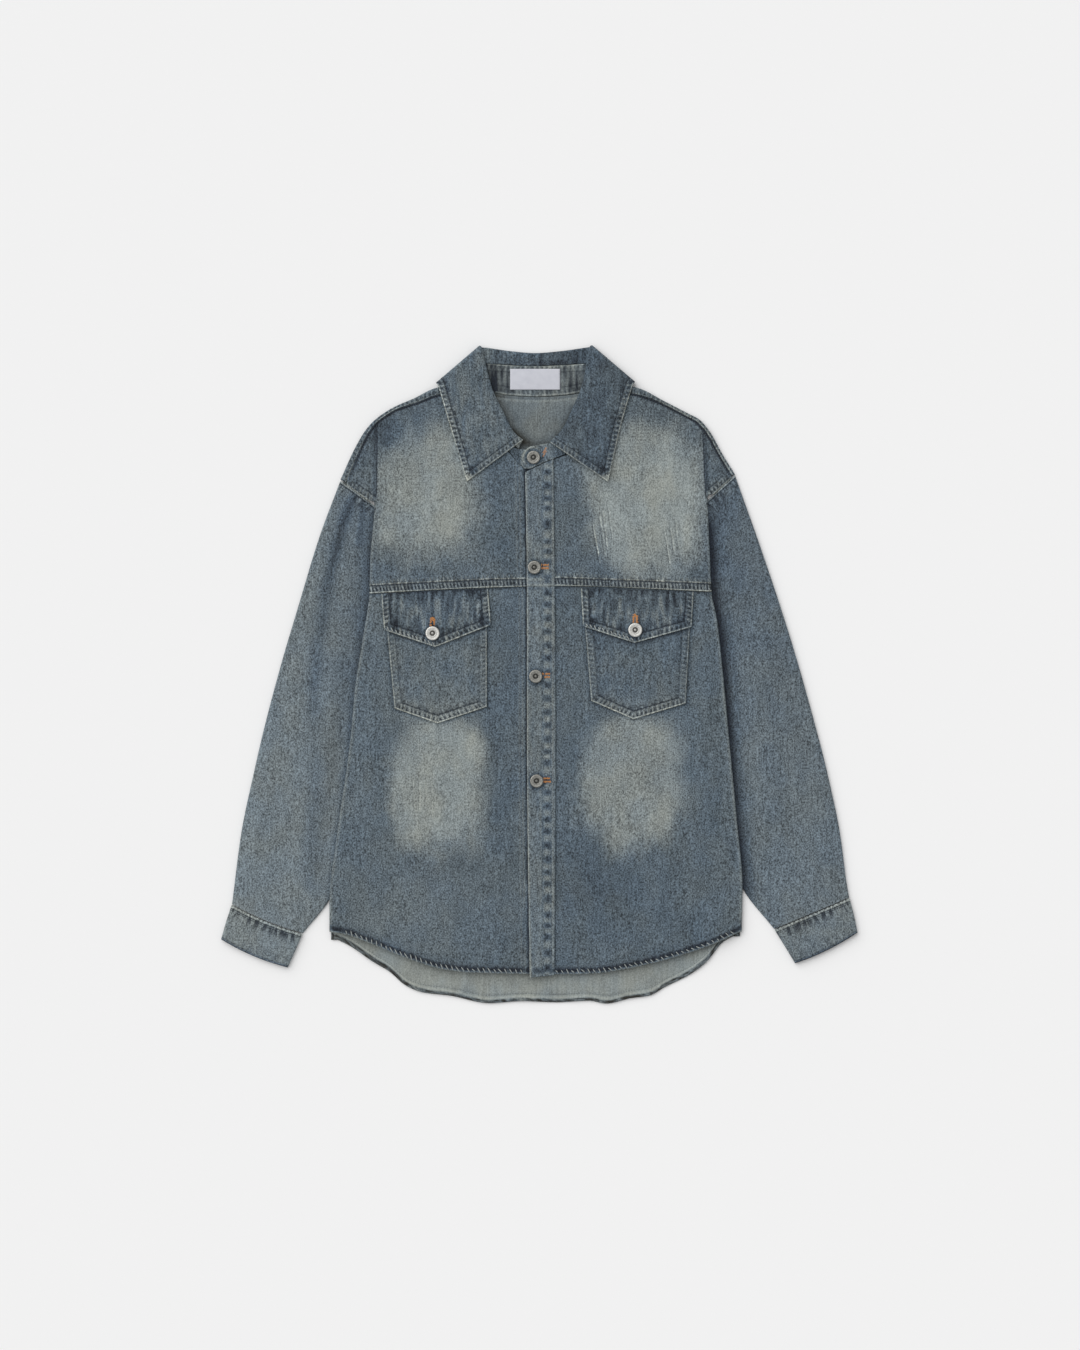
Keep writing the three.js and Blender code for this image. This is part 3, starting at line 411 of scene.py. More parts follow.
def denim(name, look=None, strokes=(), puckers=1.0):
    look = {**denimLook, **(look or {})}
    finish = Finish(name)
    step, ring, blend = finish.step, finish.ring, finish.blend
    washAndShade = finish.kept("washAndShade")
    seam = finish.kept("seam", 1)
    away, along, strength = (finish.axis(seam, k) for k in range(3))
    amount = finish.sum("MINIMUM", finish.sum("ABSOLUTE", strength), 1.0) * puckers
    isBand = step(1.02, 1.2, strength)
    isPlain = 1 - step(-0.2, -0.05, strength)
    # yarn grain, slubs along the warp and cloudy wash
    fine = finish.grain(700, (1, 0.7, 1), 1.0)
    second = finish.grain(340, (1, 0.42, 1), 1.0, (3, 1, 0))
    slub = finish.grain(420, (1, 0.09, 1), 1.0, (5, 0, 0))
    cloud = finish.grain(40, (1, 0.7, 1), 3.0, (0, 7, 0))
    share = washAndShade + (cloud - 0.5) * look["cloud"]
    # stitched edges: a pale rim, a ladder of dark notches and pale blocks, a dark row, then drags beyond. The
    # dark notches, row and drags are the unworn dark dye together with painted shade in the pucker hollows
    # and wrinkles
    uneven = finish.along(along * 0.36 + away * 0.10, away * 0.12, 0.0, 0.0) - 0.5
    wander = finish.along(along * 0.06, away * 0.02, 8.0, 1.0) - 0.5
    even = finish.sum("SINE", along * (1.12 + isBand * 0.36) + away * 0.25 + wander * 8)
    block = 0.5 + even * 0.26 + uneven * 0.7
    dark = 1 - step(0.32, 0.50, block)
    light = step(0.52, 0.72, block)
    drag = step(0.46, 0.58, finish.along(along * 0.24, away * 0.05, 4.0, 1.0))
    ladder = step(1.2, 2.2, away) * (1 - step(7.6, 8.8, away)) * (1 - isPlain)
    row = ring(8.9, 1.6, away) * (1 - isPlain)
    boxes = step(1.5, 2.5, away) * (1 - step(5.0, 6.3, away)) * (1 - isPlain)
    first = ring(2.5, 1.4, away)
    beyond = step(8.6, 9.8, away) * (1 - step(10.0, 16.0, away)) * (1 - isPlain)
    near = step(1.6, 3.4, away) * (1 - step(6.0, 18.0, away)) * isPlain
    isDouble = 1 - step(-1.5, -1.3, strength)
    rim = (1 - step(1.0 + isDouble * 1.4, 1.9 + isDouble * 1.4, away)) * (0.7 + block * 0.5)
    dents = ladder * dark * (0.16 + isBand * 0.5) + boxes * dark * 0.6 + row * (0.66 + dark * 0.3)
    dents = dents + first * (0.1 + dark * 0.2) + beyond * drag * 0.6
    dents = dents + first * isPlain * (1 - isDouble) * 0.66 + near * drag * (0.7 + isDouble * 0.2)
    lines = ring(3.7, 0.9, away) * 0.8 + ring(5.7, 0.9, away) * (0.4 + dark * 0.4)
    dents = dents + (lines + (1 - step(0.6, 1.3, away)) * dark * 0.8) * isDouble
    share = share + (rim * (1.02 - isPlain * 0.3) + ladder * light * 0.26 + ladder * 0.12
                     + (near * 0.12 + beyond * 0.1) * (1 - drag)) * amount
    bandRows = ring(10.2, 1.4, away) * 0.85 + ring(13.5, 3.4, away) * light * 0.3
    share = share + bandRows * isBand
    # Below 0 the value darkens towards the deep tone as painted shade; the dents darken towards it too.
    tone = blend(finish.sum("MAXIMUM", share, 0.0), look["ground"], look["worn"], True)
    tone = blend(finish.sum("MINIMUM", share, 0.0) * -1.9, tone, look["deep"])
    dents = finish.sum("MINIMUM", dents * amount, 0.9)
    tone = blend(dents, tone, look["deep"])
    # fine worn strokes, each with a painted shadow along its left side; strokes given as dark are painted
    # shadow lines
    apart, upward = finish.axis(finish.place, 0), finish.axis(finish.place, 1)
    if strokes:
        wobble = (finish.grain(60, (1, 0.5, 1), 1.0) - 0.5) * 3.4
        broken = step(0.36, 0.5, finish.grain(150, (1, 0.3, 1), 1.0, (2, 9, 0)))
    for topX, topY, footX, footY, much in strokes:
        down = (topY * mm - upward + shift.y) / ((topY - footY) * mm)
        aside = (apart - shift.x) / mm - topX - down * (footX - topX) + wobble * (0.1 if much < 0 else 1)
        inside = step(0.0, 0.12, down) * (1 - step(0.84, 1.0, down))
        line = 1 - step(0.35, 1.05, finish.sum("ABSOLUTE", aside))
        if much > 0:
            shade = 1 - step(0.3, 1.2, finish.sum("ABSOLUTE", aside + 1.7))
            tone = blend(shade * inside * much * 0.5, tone, look["deep"])
            tone = blend(line * inside * broken * much, tone, look["pale"])
        else:
            tone = blend(line * inside * -much, tone, look["deep"])
    grain = (fine - 0.5) * look["speck"] + (second - 0.5) * look["second"] + (slub - 0.5) * look["streak"]
    gain = 1 + grain * (1 - step(0.0, 1.3, washAndShade) * 0.6)
    tone = finish.scaled(tone, finish.sum("MAXIMUM", gain, 0.3))
    hue = step(0.36, 0.64, finish.grain(26, (1, 0.7, 1), 3.0, (4, 4, 0)))
    tint = blend(hue, (0.968, 0.998, 1.042, 1), (1.022, 1.003, 0.978, 1))
    tone = finish.node("ShaderNodeVectorMath", {"operation": "MULTIPLY"}, {0: tone, 1: tint})
    weave = finish.wave("DIAGONAL", 430.0, {"Distortion": 1.2, "Detail": 1.0, "Detail Scale": 2.0})
    height = weave * 0.3 + fine * 0.8 + second * 0.5 + dents * -1.4
    height = height + ladder * light * amount * 1.2 + rim * 0.4
    dry = {"Sheen Weight": 0.05, "Sheen Roughness": 0.5, "Specular IOR Level": 0.2}
    return finish.close(tone, 0.86 + (fine - 0.5) * 0.18, (0.7, 0.0007, height), dry)


def metal(name, darker, brighter, recess):
    finish = Finish(name)
    depth = finish.kept("depth")
    dull = finish.grain(900, (1, 1, 1), 3.0)
    tone = finish.blend(finish.step(0.35, 0.65, dull), darker, brighter)
    tone = finish.blend(depth, tone, recess)
    height = finish.grain(2600, (1, 1, 1), 2.0)
    return finish.close(tone, 0.36 + dull * 0.2, (0.2, 0.0002, height), {"Metallic": 0.75})


def thread(name, first, second):
    finish = Finish(name)
    twist = finish.grain(1500, (1, 1, 1), 2.0)
    tone = finish.blend(twist, first, second)
    return finish.close(tone, 0.7 + (twist - 0.5) * 0.1, (0.4, 0.0002, twist))


def tape(name):
    finish = Finish(name)
    ribs = finish.wave("X", 700.0) + finish.wave("Y", 900.0)
    soft = finish.grain(160, (1, 1, 1), 2.0)
    tone = finish.blend(soft, colour(190, 192, 201), colour(207, 208, 216))
    return finish.close(tone, 0.5 + soft * 0.1, (0.3, 0.0002, ribs), {"Sheen Weight": 0.1})


strokes = [  # top, foot and how pale, or how dark where it is less than 0
    (64.8, 184.3, 73.1, 132, 0.75), (73.1, 194, 79.3, 140.4, 0.8), (76.5, 199.5, 82, 148.5, 0.7),
    (82, 210.5, 89.6, 158.2, 0.6), (149.5, 180, 158.5, 128, 0.6), (157.8, 185.8, 162.6, 140.4, 0.7),
    (164, 188.5, 168, 147, 0.5), (-152, -118, -150, -165, 0.3), (-144, -112, -143, -172, 0.35),
    (-137, -120, -135, -160, 0.3), (-129, -125, -128, -175, 0.3),
]
# A dark stroke along each shoulder fold: a painted shadow line.
for side in sides.values():
    ends = placed(side, [(foldAt(side, y), y) for y in (297, 206)])
    strokes.append((*ends[0], *ends[1], -0.8))
bodyDenim = denim("body denim", strokes=strokes)
bodyLook = {"face": bodyDenim, "slot": "denim_body"}
sleeveTones = {"ground": colour(83, 95, 105), "worn": colour(147, 155, 154)}
sleeveDenim = denim("sleeve denim", sleeveTones, puckers=0.9)
sleeveLook = {"face": sleeveDenim, "slot": "denim_sleeve", "tube": True}
trimLook = {"face": denim("trim denim"), "slot": "denim_trim"}
reverseLook = {"ground": colour(99, 107, 110), "worn": colour(154, 160, 156), "speck": 1.5, "second": 0.4}
reverseDenim = denim("denim reverse", reverseLook, puckers=0.5)
insideDenim = denim("denim inside", {**reverseLook, "deep": colour(52, 52, 48)}, puckers=0.5)
flapMetal = metal("bright silver metal", colour(196, 195, 190), colour(228, 227, 222), colour(60, 58, 54))
# The front buttons take a darker copy of the silver than the flap buttons.
frontMetal = metal("darker silver metal", colour(120, 120, 115), colour(166, 165, 159), colour(44, 44, 42))
seamThread = thread("washed blue thread", colour(62, 70, 78), colour(104, 112, 118))
ropeThread = thread("worn pale hem twist", colour(120, 128, 130), colour(176, 180, 176))
orangeThread = thread("orange thread", colour(164, 104, 50), colour(220, 154, 88))
labelTape = tape("woven label tape")
print("materials made")


# Laying cloth: a grid placed by a function, its distance to stitched edges kept for the finish.

def built(name, bm, *materials):
    for face in bm.faces:
        face.smooth = True
    mesh = bpy.data.meshes.new(name)
    bm.to_mesh(mesh)
    bm.free()
    for material in materials:
        mesh.materials.append(material)
    made = bpy.data.objects.new(name, mesh)
    bpy.context.scene.collection.objects.link(made)
    return made


def seamDistances(places, look):
    points = np.array([(p[0], p[1]) for p in places])
    best = np.full(len(points), 99.0)
    run = np.zeros(len(points))
    strength = np.ones(len(points))
    within = look.get("within")
    for k, line in enumerate(look.get("seams", ())):
        walked = 0.0
        acting = np.array([within(x, y, k) for x, y in points]) if within else True
        for a, b in zip(line, line[1:]):
            a, b = np.array(a, float), np.array(b, float)
            way = b - a
            length = float(np.hypot(*way))
            if length < 1e-6:
                continue
            t = np.clip(((points - a) @ way) / length ** 2, 0, 1)
            away = np.hypot(*(points - (a + t[:, None] * way)).T)
            near = (away < best) & acting
            best[near] = away[near]
            run[near] = walked + t[near] * length
            strength[near] = look["strengths"][k] if "strengths" in look else 1
            walked += length
    for x, y, reach in look.get("corners", ()):
        strength *= 1 - 0.85 * np.exp(-(np.hypot(points[:, 0] - x, points[:, 1] - y) / reach) ** 2)
    return best, run, strength


def puckered(away, along, depth):
    wave = sin(along / 1.27 + 2.2 * rough(along / 9, 0, 2))
    slow = rough(along / 14, 5, 1)
    puff = bell(away, 5.2, 2.6) * (0.45 + 0.3 * wave + 0.5 * slow)
    rows = bell(away, 2.2, 1.1) + bell(away, 8.4, 1.2)
    return depth * (puff - 0.45 * rows * (0.6 + 0.4 * wave))


def layCloth(name, across, down, place, look):
    bm = bmesh.new()
    bmesh.ops.create_grid(bm, x_segments=len(across) - 1, y_segments=len(down) - 1, size=0.5)
    # Kept per vertex: the wash together with painted light and shade.
    washAndShadeLayer = bm.verts.layers.float.new("washAndShade")
    seamLayer = bm.verts.layers.float_vector.new("seam")
    def pick(shares, at):
        return shares[round((at + 0.5) * (len(shares) - 1))]

    places = [place(pick(across, vert.co.x), pick(down, vert.co.y)) for vert in bm.verts]
    away, along, strengths = seamDistances(places, look)
    depth = look.get("pucker", 0.0)
    for vert, spot, near, run, strength in zip(bm.verts, places, away, along, strengths):
        x, y, z = spot[:3]
        loose = spot[3] if len(spot) > 3 else 1
        if depth and near < 14 and loose:
            z += puckered(near, run, depth) * loose
        vert.co = Vector((x, y, z)) * mm + shift
        vert[washAndShadeLayer] = look["washAndShade"](x, y)
        vert[seamLayer] = (near * look.get("closer", 1), run, strength)
    if look.get("tube"):
        bmesh.ops.remove_doubles(bm, verts=bm.verts, dist=1e-6)
    bmesh.ops.recalc_face_normals(bm, faces=bm.faces)
    highest = max(bm.faces, key=lambda face: face.calc_center_median().z + abs(face.normal.z) * 0.1)
    if highest.normal.z < 0:
        bmesh.ops.reverse_faces(bm, faces=bm.faces)
    cloth = built(name, bm, look["face"], look.get("reverse", reverseDenim))
    wall = cloth.modifiers.new("cloth", "SOLIDIFY")
    wall.thickness = look.get("thickness", layers["shell"]) * mm
    wall.offset = 0
    wall.material_offset = 1
    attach(cloth, "root")
    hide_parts(*look["nodes"])
    look.get("held", "laid")
    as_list(look.get("restsOn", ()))
    return cloth


# Fronts: yoke and lower panel, each with a side that rolls down, and the shoulder cap outside the fold

front = {"step": 2.4, "band": 10, "hem": 8.5, "pucker": 0.32}


def innerEdge(side, y):
    if side["sign"] < 0:
        return -(steady(placketRight, y) - 2.6)
    return steady(placketRight, y) - 2


def movedIn(rows, distance):
    moved = []
    for i, row in enumerate(rows):
        a, b = rows[max(i - 1, 0)], rows[min(i + 1, len(rows) - 1)]
        length = hypot(b[0] - a[0], b[1] - a[1])
        dx, dy = (b[0] - a[0]) / length, (b[1] - a[1]) / length
        moved.append((row[0] + dy * distance(row), row[1] - dx * distance(row)))
    return moved


def seamLineOf(side):
    return movedIn(side["shoulder"], lambda row: row[2] + 0.3)


def frontTopLine(side):
    line = seamLineOf(side)
    fold = foldAt(side, heights["foldTop"])
    shoulder = [row for row in line if side["neck"][-1][0] + 8 < row[0] < fold - 6]
    points = list(side["neck"]) + shoulder + [(fold, steady(line, fold))]
    if side["sign"] < 0:
        points = [(innerEdge(side, 250), 252)] + points
    return points


def armholeAt(side, out):
    (outerX, outerY), (innerX, innerY) = side["sleeve"][0]
    return lerp(outerY, innerY, (out - outerX) / (innerX - outerX)) + 0.5


def capEdge(side, line, y):
    corner, cornerY = line[-1], heights["capCorner"]
    if y > cornerY:
        top = foldAt(side, heights["foldTop"])
        topY = steady(line, top)
        out = lerp(top + 3, corner[0], (y - topY) / (cornerY - topY))
        return out, steady(line, out)
    foot = foldAt(side, side["capFoot"]) + 6
    out = lerp(corner[0], foot, (y - cornerY) / (side["capFoot"] - cornerY))
    return out, armholeAt(side, out)


def frontPlace(side, topLine, footLine, isYoke, first, last):
    line = seamLineOf(side)
    inner = topLine[0][0] if isYoke else innerEdge(side, first)
    outer = topLine[-1][0] if isYoke else foldAt(side, first)
    lastIn, lastOut = innerEdge(side, last), foldAt(side, last)

    def flat(share, fall):
        rowY = lerp(first, last, fall)
        topX = lerp(inner, outer, share)
        topY = steady(topLine, topX) if isYoke else steady(footLine, side["sign"] * topX) - 0.5
        footX = lerp(lastIn, lastOut, share)
        footY = steady(footLine if isYoke else frontHem, side["sign"] * footX)
        y = lerp(topY, footY, fall)
        x = lerp(topX, lerp(innerEdge(side, y), foldAt(side, rowY), share), smooth(0, 0.04, fall))
        return x, y, rowY, y - footY

    def place(share, fall):
        out, y, rowY, lift = flat(min(share, 1), fall)
        base = layers["cloth"] / 2
        hem = 0.0
        if isYoke:
            hem = 0.8 * (1 - smooth(front["band"] - 0.8, front["band"] + 0.8, lift))
            hem += 0.6 * bell(lift, front["band"] - 0.4, 1.2) + 0.6 * bell(lift, 1.0, 1.2)
        else:
            along = out + 0.5 * y
            twist = sin((along - lift * 0.9) / 1.25 + 1.6 * rough(along / 16, 3, 0))
            hem = 0.8 * (1 - smooth(front["hem"] - 0.8, front["hem"] + 0.8, lift))
            hem += (0.5 + 0.5 * twist) * 0.8 * bell(lift, 3.6, 3.2)
        if share <= 1:
            x = side["sign"] * out
            hem *= smooth(0, 3, foldAt(side, rowY) - out)
            z = frontUnder(side, out, y) + base + hem + bodyRelief(x, y)
            return x, y, z, smooth(2, 9, foldAt(side, rowY) - out)
        t = share - 1
        angle = min(1, t / 0.8) * pi / 2
        rollX = out + layers["roll"] * sin(angle)
        top = frontUnder(side, out, y) + base
        low = backUnder(side["sign"] * rollX, y) + base - 0.4
        rollZ = top - layers["roll"] * (1 - cos(angle))
        rollZ = lerp(rollZ, min(rollZ, low), smooth(0.8, 1, t))
        capping = smooth(side["capFoot"] - 2, side["capFoot"] + 8, rowY) if isYoke else 0
        if capping:
            toX, toY = capEdge(side, line, y)
            reach = max(hypot(toX - out, toY - y), 0.1)
            far = t ** 1.6
            capX, capY = lerp(out, toX, far), lerp(y, toY, far)
            puff = 1.6 * sin(pi * far) * smooth(6, 30, reach)
            puff += 0.5 * bell(reach * (1 - far), 1.5, 1.6)
            capZ = frontUnder(side, capX, capY) + base + puff
            loose = smooth(2, 9, far * reach)
            return (side["sign"] * lerp(rollX, capX, capping), lerp(y, capY, capping),
                    lerp(rollZ, capZ, capping), loose * capping)
        return side["sign"] * rollX, y, rollZ, 0

    return place


topSeams = {side["sign"]: placed(side, seamLineOf(side)) for side in sides.values()}


def frontWashAndShade(x, y):
    side = sideOf(x)
    beyond = abs(x) - foldAt(side, y)
    # A painted highlight along the body's rolled edge.
    washAndShade = bodyFade(x, y) + 0.22 * bell(beyond, 0.4, 1.5) * (1 - smooth(200, 215, y))
    if y > 225:
        washAndShade -= 1.1 * bell(toLine(topSeams[side["sign"]], x, y), 1.2, 1.2)
    # Painted light on the fold's edge and painted shade just outside it, on the shoulder cap.
    if y > side["capFoot"]:
        ridge = 0.12 * bell(beyond, -1.5, 1.5) - 0.30 * bell(beyond, 1.8, 2.6)
        washAndShade += ridge * smooth(0, 10, y - side["capFoot"])
    # Pale stitch lines beside the placket, and a painted shadow along the placket's left edge.
    if -34 < x < -8:
        toPlacket = x - steady(placketLeft, y)
        first, second = (-11, -7.2) if y > 104 else (-8.8, -5.6)
        washAndShade += 0.16 * bell(toPlacket, first, 1.2) + 0.2 * bell(toPlacket, second, 1.2)
        washAndShade -= 0.14 * bell(toPlacket, (first + second) / 2, 1) + 0.5 * smooth(-2.6, -1.2, toPlacket)
    return washAndShade


def shapeRing(side, kind):
    return placed(side, [side[kind][k] for k in (0, 2, 3, 4, 1)])


def lowerWashAndShade(x, y):
    side = sideOf(x)
    lift = y - steady(frontHem, x)
    washAndShade = frontWashAndShade(x, y) - 0.12 * smooth(18, 7, lift)
    washAndShade -= (0.52 + 0.5 * rough(x / 5, 2, 6)) * bell(lift, 4.6, 3.2)
    washAndShade += 0.5 * bell(lift, 0.2, 1.3) + 0.1 * bell(lift, 10, 1.4)
    # A painted shadow round the pocket patch's edge.
    if y > -70:
        washAndShade -= 0.26 * bell(toLine(shapeRing(side, "pocket"), x, y), 0.6, 2.2)
    # A painted shadow under the yoke band's lower edge.
    return washAndShade - 0.3 * bell(steady(yokeFoot, x) - y, 1.4, 2)


def panelSeams(side, isYoke):
    sign = side["sign"]
    if not isYoke:
        hem = [(x, y) for x, y in frontHem if x * sign > 0]
        hem = hem if sign > 0 else hem + [(14, -359)]
        return [hem]
    line = seamLineOf(side)
    top = placed(side, line)
    foot = foldAt(side, side["capFoot"]) + 6
    arm = placed(side, [(out, armholeAt(side, out)) for out in (line[-1][0], foot)])
    band = [(x, y) for x, y in yokeFoot if x * sign > 0] + [(0, 106)]
    return [sorted(band), top, arm]


for name, side in sides.items():
    across = evenSteps(0, 215, front["step"])
    if name == "left":
        across = sorted(set(across) | {k / 215 for k in range(30, 50)})
    across += [1 + k / 12 for k in range(1, 13)]
    shared = {**bodyLook, "pucker": front["pucker"], "restsOn": ["back_panel"]}
    topLine = frontTopLine(side)
    yokePlace = frontPlace(side, topLine, yokeFoot, True, topLine[-1][1], heights["yokeTop"])
    layCloth("yoke_front_" + name, across, evenSteps(300, 98, front["step"], (4, 16)), yokePlace, {
        **shared, "washAndShade": frontWashAndShade, "nodes": ["front_yoke_" + name],
        "seams": panelSeams(side, True), "strengths": [1.3, -0.3, 0.8],
        "within": lambda x, y, k, side=side: k != 2 or abs(x) > foldAt(side, y), "flat": (0.26, 0.25)})
    lowerPlace = frontPlace(side, topLine, yokeFoot, False, 97.7, heights["hemCorner"])
    layCloth("lower_front_" + name, across, evenSteps(97, -350, front["step"], (5, 14), 1.3), lowerPlace, {
        **shared, "nodes": ["front_lower_" + name], "seams": panelSeams(side, False), "strengths": [0.12],
        "washAndShade": lowerWashAndShade, "flat": (0.26, 0.46)})


# Back: one panel, with a strip that rolls forward over each shoulder

rollLine = [(-20.5, 281), (-31.5, 290.5), (-44.5, 315), (-58.5, 345), (-70, 392)]
neckFront = [(-31.5, 290.5), (-20.5, 281), (-5, 276), (13.5, 278.5), (28.5, 294), (40.5, 318)]

back = {"step": 4.2, "shoulderInset": 3.2, "rope": 0.9}


def backTopLine():
    def half(side):
        line = movedIn(side["shoulder"], lambda row: back["shoulderInset"])
        fold = foldAt(side, heights["foldTop"])
        inside = [row for row in line if row[0] < fold - 6] + [(fold, steady(line, fold))]
        return placed(side, inside)
    return sorted(half(sides["left"]) + backNeck + half(sides["right"]))


def backMainEnd(side, rowY):
    onCap = smooth(side["capFoot"] + 4, side["capFoot"] + 12, rowY)
    return lerp(edgeAt(side, rowY) - 10, foldAt(side, rowY), onCap), onCap


backTop = backTopLine()


def backPlace(share, fall):
    main = min(max(share, 0), 1)
    last = heights["backCorner"]
    left, right = sides["left"], sides["right"]
    topX = lerp(backTop[0][0], backTop[-1][0], main)
    topY = steady(backTop, topX)
    first = lerp(backTop[0][1], backTop[-1][1], main)
    rowY = lerp(first, last, fall)
    footX = lerp(-backMainEnd(left, last)[0], backMainEnd(right, last)[0], main)
    y = lerp(topY, steady(backHem, footX), fall)
    lift = y - steady(backHem, footX)
    x = lerp(-backMainEnd(left, rowY)[0], backMainEnd(right, rowY)[0], main)
    beyond = share - 1 if share > 1 else -share if share < 0 else 0
    if beyond:
        side = right if share > 1 else left
        start, onCap = backMainEnd(side, rowY)
        plain = (lerp(start, edgeAt(side, rowY) - 2, beyond), y)
        cap = capEdge(side, movedIn(side["shoulder"], lambda row: back["shoulderInset"]), y)
        out = lerp(plain[0], lerp(start, cap[0], beyond), onCap)
        y = lerp(plain[1], lerp(y, cap[1], beyond), onCap)
        x = side["sign"] * out
    twist = sin((x - lift * 0.8) / 1.6 + 2.4 * rough(x / 22, 1, 0))
    wavy = 0.5 + rough(x / 46, 2, 8)
    rope = back["rope"] * bell(lift, 2.2, 2.2) * (0.7 + 0.5 * twist)
    rope += 1.6 * max(0, wavy) * (1 - smooth(2, 22, lift))
    under = backUnder(x, y)
    return x, y, under + layers["cloth"] / 2 + rope, 0


def backWashAndShade(x, y):
    washAndShade = 0.12 + 0.05 * rough(x / 30, y / 30, 2.2) - 0.10 * smooth(280, 250, y) * smooth(200, 240, y)
    under = steady(backNeck, x) - y
    # Painted shadows of the collar's left roll and of the front neck edge on the inside of the back.
    if y > 240:
        washAndShade -= 0.40 * bell(toLine(rollLine, x, y), 0, 12) + 0.4 * bell(toLine(neckFront, x, y), 0, 5)
    washAndShade += 0.34 * bell(under, 4.6, 1.3) - 0.22 * bell(under, 2, 1.6)
    lift = y - steady(backHem, x)
    hem = 0.56 * smooth(-250, -335, y) * (0.9 + 0.3 * rough(x / 26, y / 20, 6))
    mottled = 0.72 + 0.9 * rough(x / 2.2, y / 2.2, 5)
    wide = 4.4 + 2.0 * smooth(120, 200, abs(x)) + 0.8 * rough(x / 9, 4, 4)
    hem += 0.40 * bell(lift, wide + 1.2, 1.2) - 1.3 * smooth(wide, wide - 1.6, lift) * mottled
    hem -= 0.16 * bell(lift, 10, 1.4) * smooth(-180, -60, -abs(x))
    return washAndShade + hem + 0.05


across = [k / 6 for k in range(-6, 0)] + evenSteps(-230, 230, back["step"]) + [1 + k / 6 for k in range(1, 7)]
layCloth("back", across, evenSteps(300, -390, back["step"], (14, 26), 1.3), backPlace, {
    "face": insideDenim, "reverse": bodyDenim, "slot": "denim_body", "washAndShade": backWashAndShade,
    "nodes": ["back_panel"], "seams": [backHem], "strengths": [0.1],
    "flat": (0.51, 0.74), "restsOn": ["sleeve_front_left", "sleeve_front_right"]})


def shoulderPlace(side):
    start = movedIn(side["shoulder"], lambda row: back["shoulderInset"] + 3)
    rows = side["shoulder"]
    ways = [(row[0], spot[0] - row[0], spot[1] - row[1]) for row, spot in zip(rows, start)]

    def place(share, turn):
        out = lerp(rows[0][0], rows[-1][0], share)
        y, strip = steady(rows, out), steady(rows, out, 2)
        inward = Vector((steady(ways, out), steady(ways, out, 2)))
        inward.normalize()
        low = backUnder(side["sign"] * out, y) + 0.6
        high = layers["frontUnder"] + 0.6 - layers["capDrop"] * smooth(200, 225, out)
        radius = (high - low) / 2
        if turn < 0.15:
            inside, z = lerp(6.2, radius + 0.6, turn / 0.15), low
        elif turn < 0.6:
            angle = (turn - 0.15) / 0.45 * pi
            inside, z = radius + 0.6 - radius * sin(angle), low + radius * (1 - cos(angle))
        else:
            inside, z = lerp(radius + 0.6, max(strip, radius + 1), (turn - 0.6) / 0.4), high
            ripple = 0.3 * sin(out / 1.3) * bell(turn, 0.9, 0.1)
            z += 0.5 * sin((turn - 0.6) / 0.4 * pi) + ripple
        return side["sign"] * (out + inward.x * inside), y + inward.y * inside, z, 0

    return place


for name, side in sides.items():
    seam = placed(side, seamLineOf(side))
    outs = evenSteps(86, 240, 1.8)
    layCloth("shoulder_strip_" + name, outs, [k / 20 for k in range(21)], shoulderPlace(side), {
        **bodyLook, "washAndShade": bodyFade, "thickness": 1.0,
        "nodes": ["back_panel"], "seams": [seam], "strengths": [0.6],
        "flat": (0.24, 0.024), "held": "folded", "restsOn": ["back"]})


# Sleeves and cuffs: flattened tubes

sleeves = {
    "step": 3.4, "covered": 3.0, "shown": 4.6, "lift": 1.2, "cuffWall": 1.6,
    "creases": {
        "left": [
            (246, 60, 268, -210, 15, 3.4), (262, 170, 250, 60, 12, 1.8), (300, 60, 330, -120, 11, -1.3),
            (318, -20, 352, -225, 13, 1.5), (285, -130, 318, -262, 10, -1.4), (280, 120, 300, 20, 8, -1.0),
            (335, -150, 350, -262, 8, 1.2), (262, -228, 312, -250, 7, -1.0),
        ],
        "right": [
            (252, 40, 285, -200, 19, 3.6), (270, 150, 256, 40, 12, 1.5), (306, 20, 334, -130, 11, -1.4),
            (322, -40, 355, -220, 12, 1.4), (292, -140, 322, -258, 10, -1.4), (280, 110, 298, 30, 8, -0.9),
            (340, -150, 352, -256, 8, 1.1), (268, -232, 318, -244, 7, -0.9),
        ],
    },
}


def tubePlace(side, sections, thickness, topAt):
    base = thickness / 2
    rows = [(i, *row[0], *row[1], row[2] if len(row) > 2 else 0) for i, row in enumerate(sections)]

    def place(part, run):
        outX, outY, inX, inY, bow = (steady(rows, run * (len(rows) - 1), k) for k in range(1, 6))
        start, end = Vector((side["sign"] * outX, outY)), Vector((side["sign"] * inX, inY))
        width = (end - start).length
        way = (end - start) / width
        down = Vector((-way.y, way.x))
        if down.y > 0:
            down = -down

        def flat(inside):
            share = inside / width
            spot = start + way * inside + down * (bow * 4 * share * (1 - share))
            return spot.x, spot.y

        def height(inside):
            return topAt(side, *flat(inside)) - base

        kind, t = part
        nearEnd = 0 if kind == "outer" or (kind in ("top", "bottom") and t < 0.5) else width
        if kind in ("outer", "inner"):
            radius = (height(nearEnd) - base) / 2
            turn = -1 if kind == "outer" else 1
            centre = nearEnd - turn * (radius + base)
            angle = t * pi
            x, y = flat(centre + turn * radius * sin(angle))
            return x, y, base + radius * (1 - cos(angle)), 0
        edges = [(height(0) - base) / 2 + base, width - (height(width) - base) / 2 - base]
        inside = lerp(edges[0], edges[1], t)
        x, y = flat(inside)
        if kind == "bottom":
            return x, y, base, 0
        return x, y, height(inside), smooth(0, 6, min(inside, width - inside))

    return place


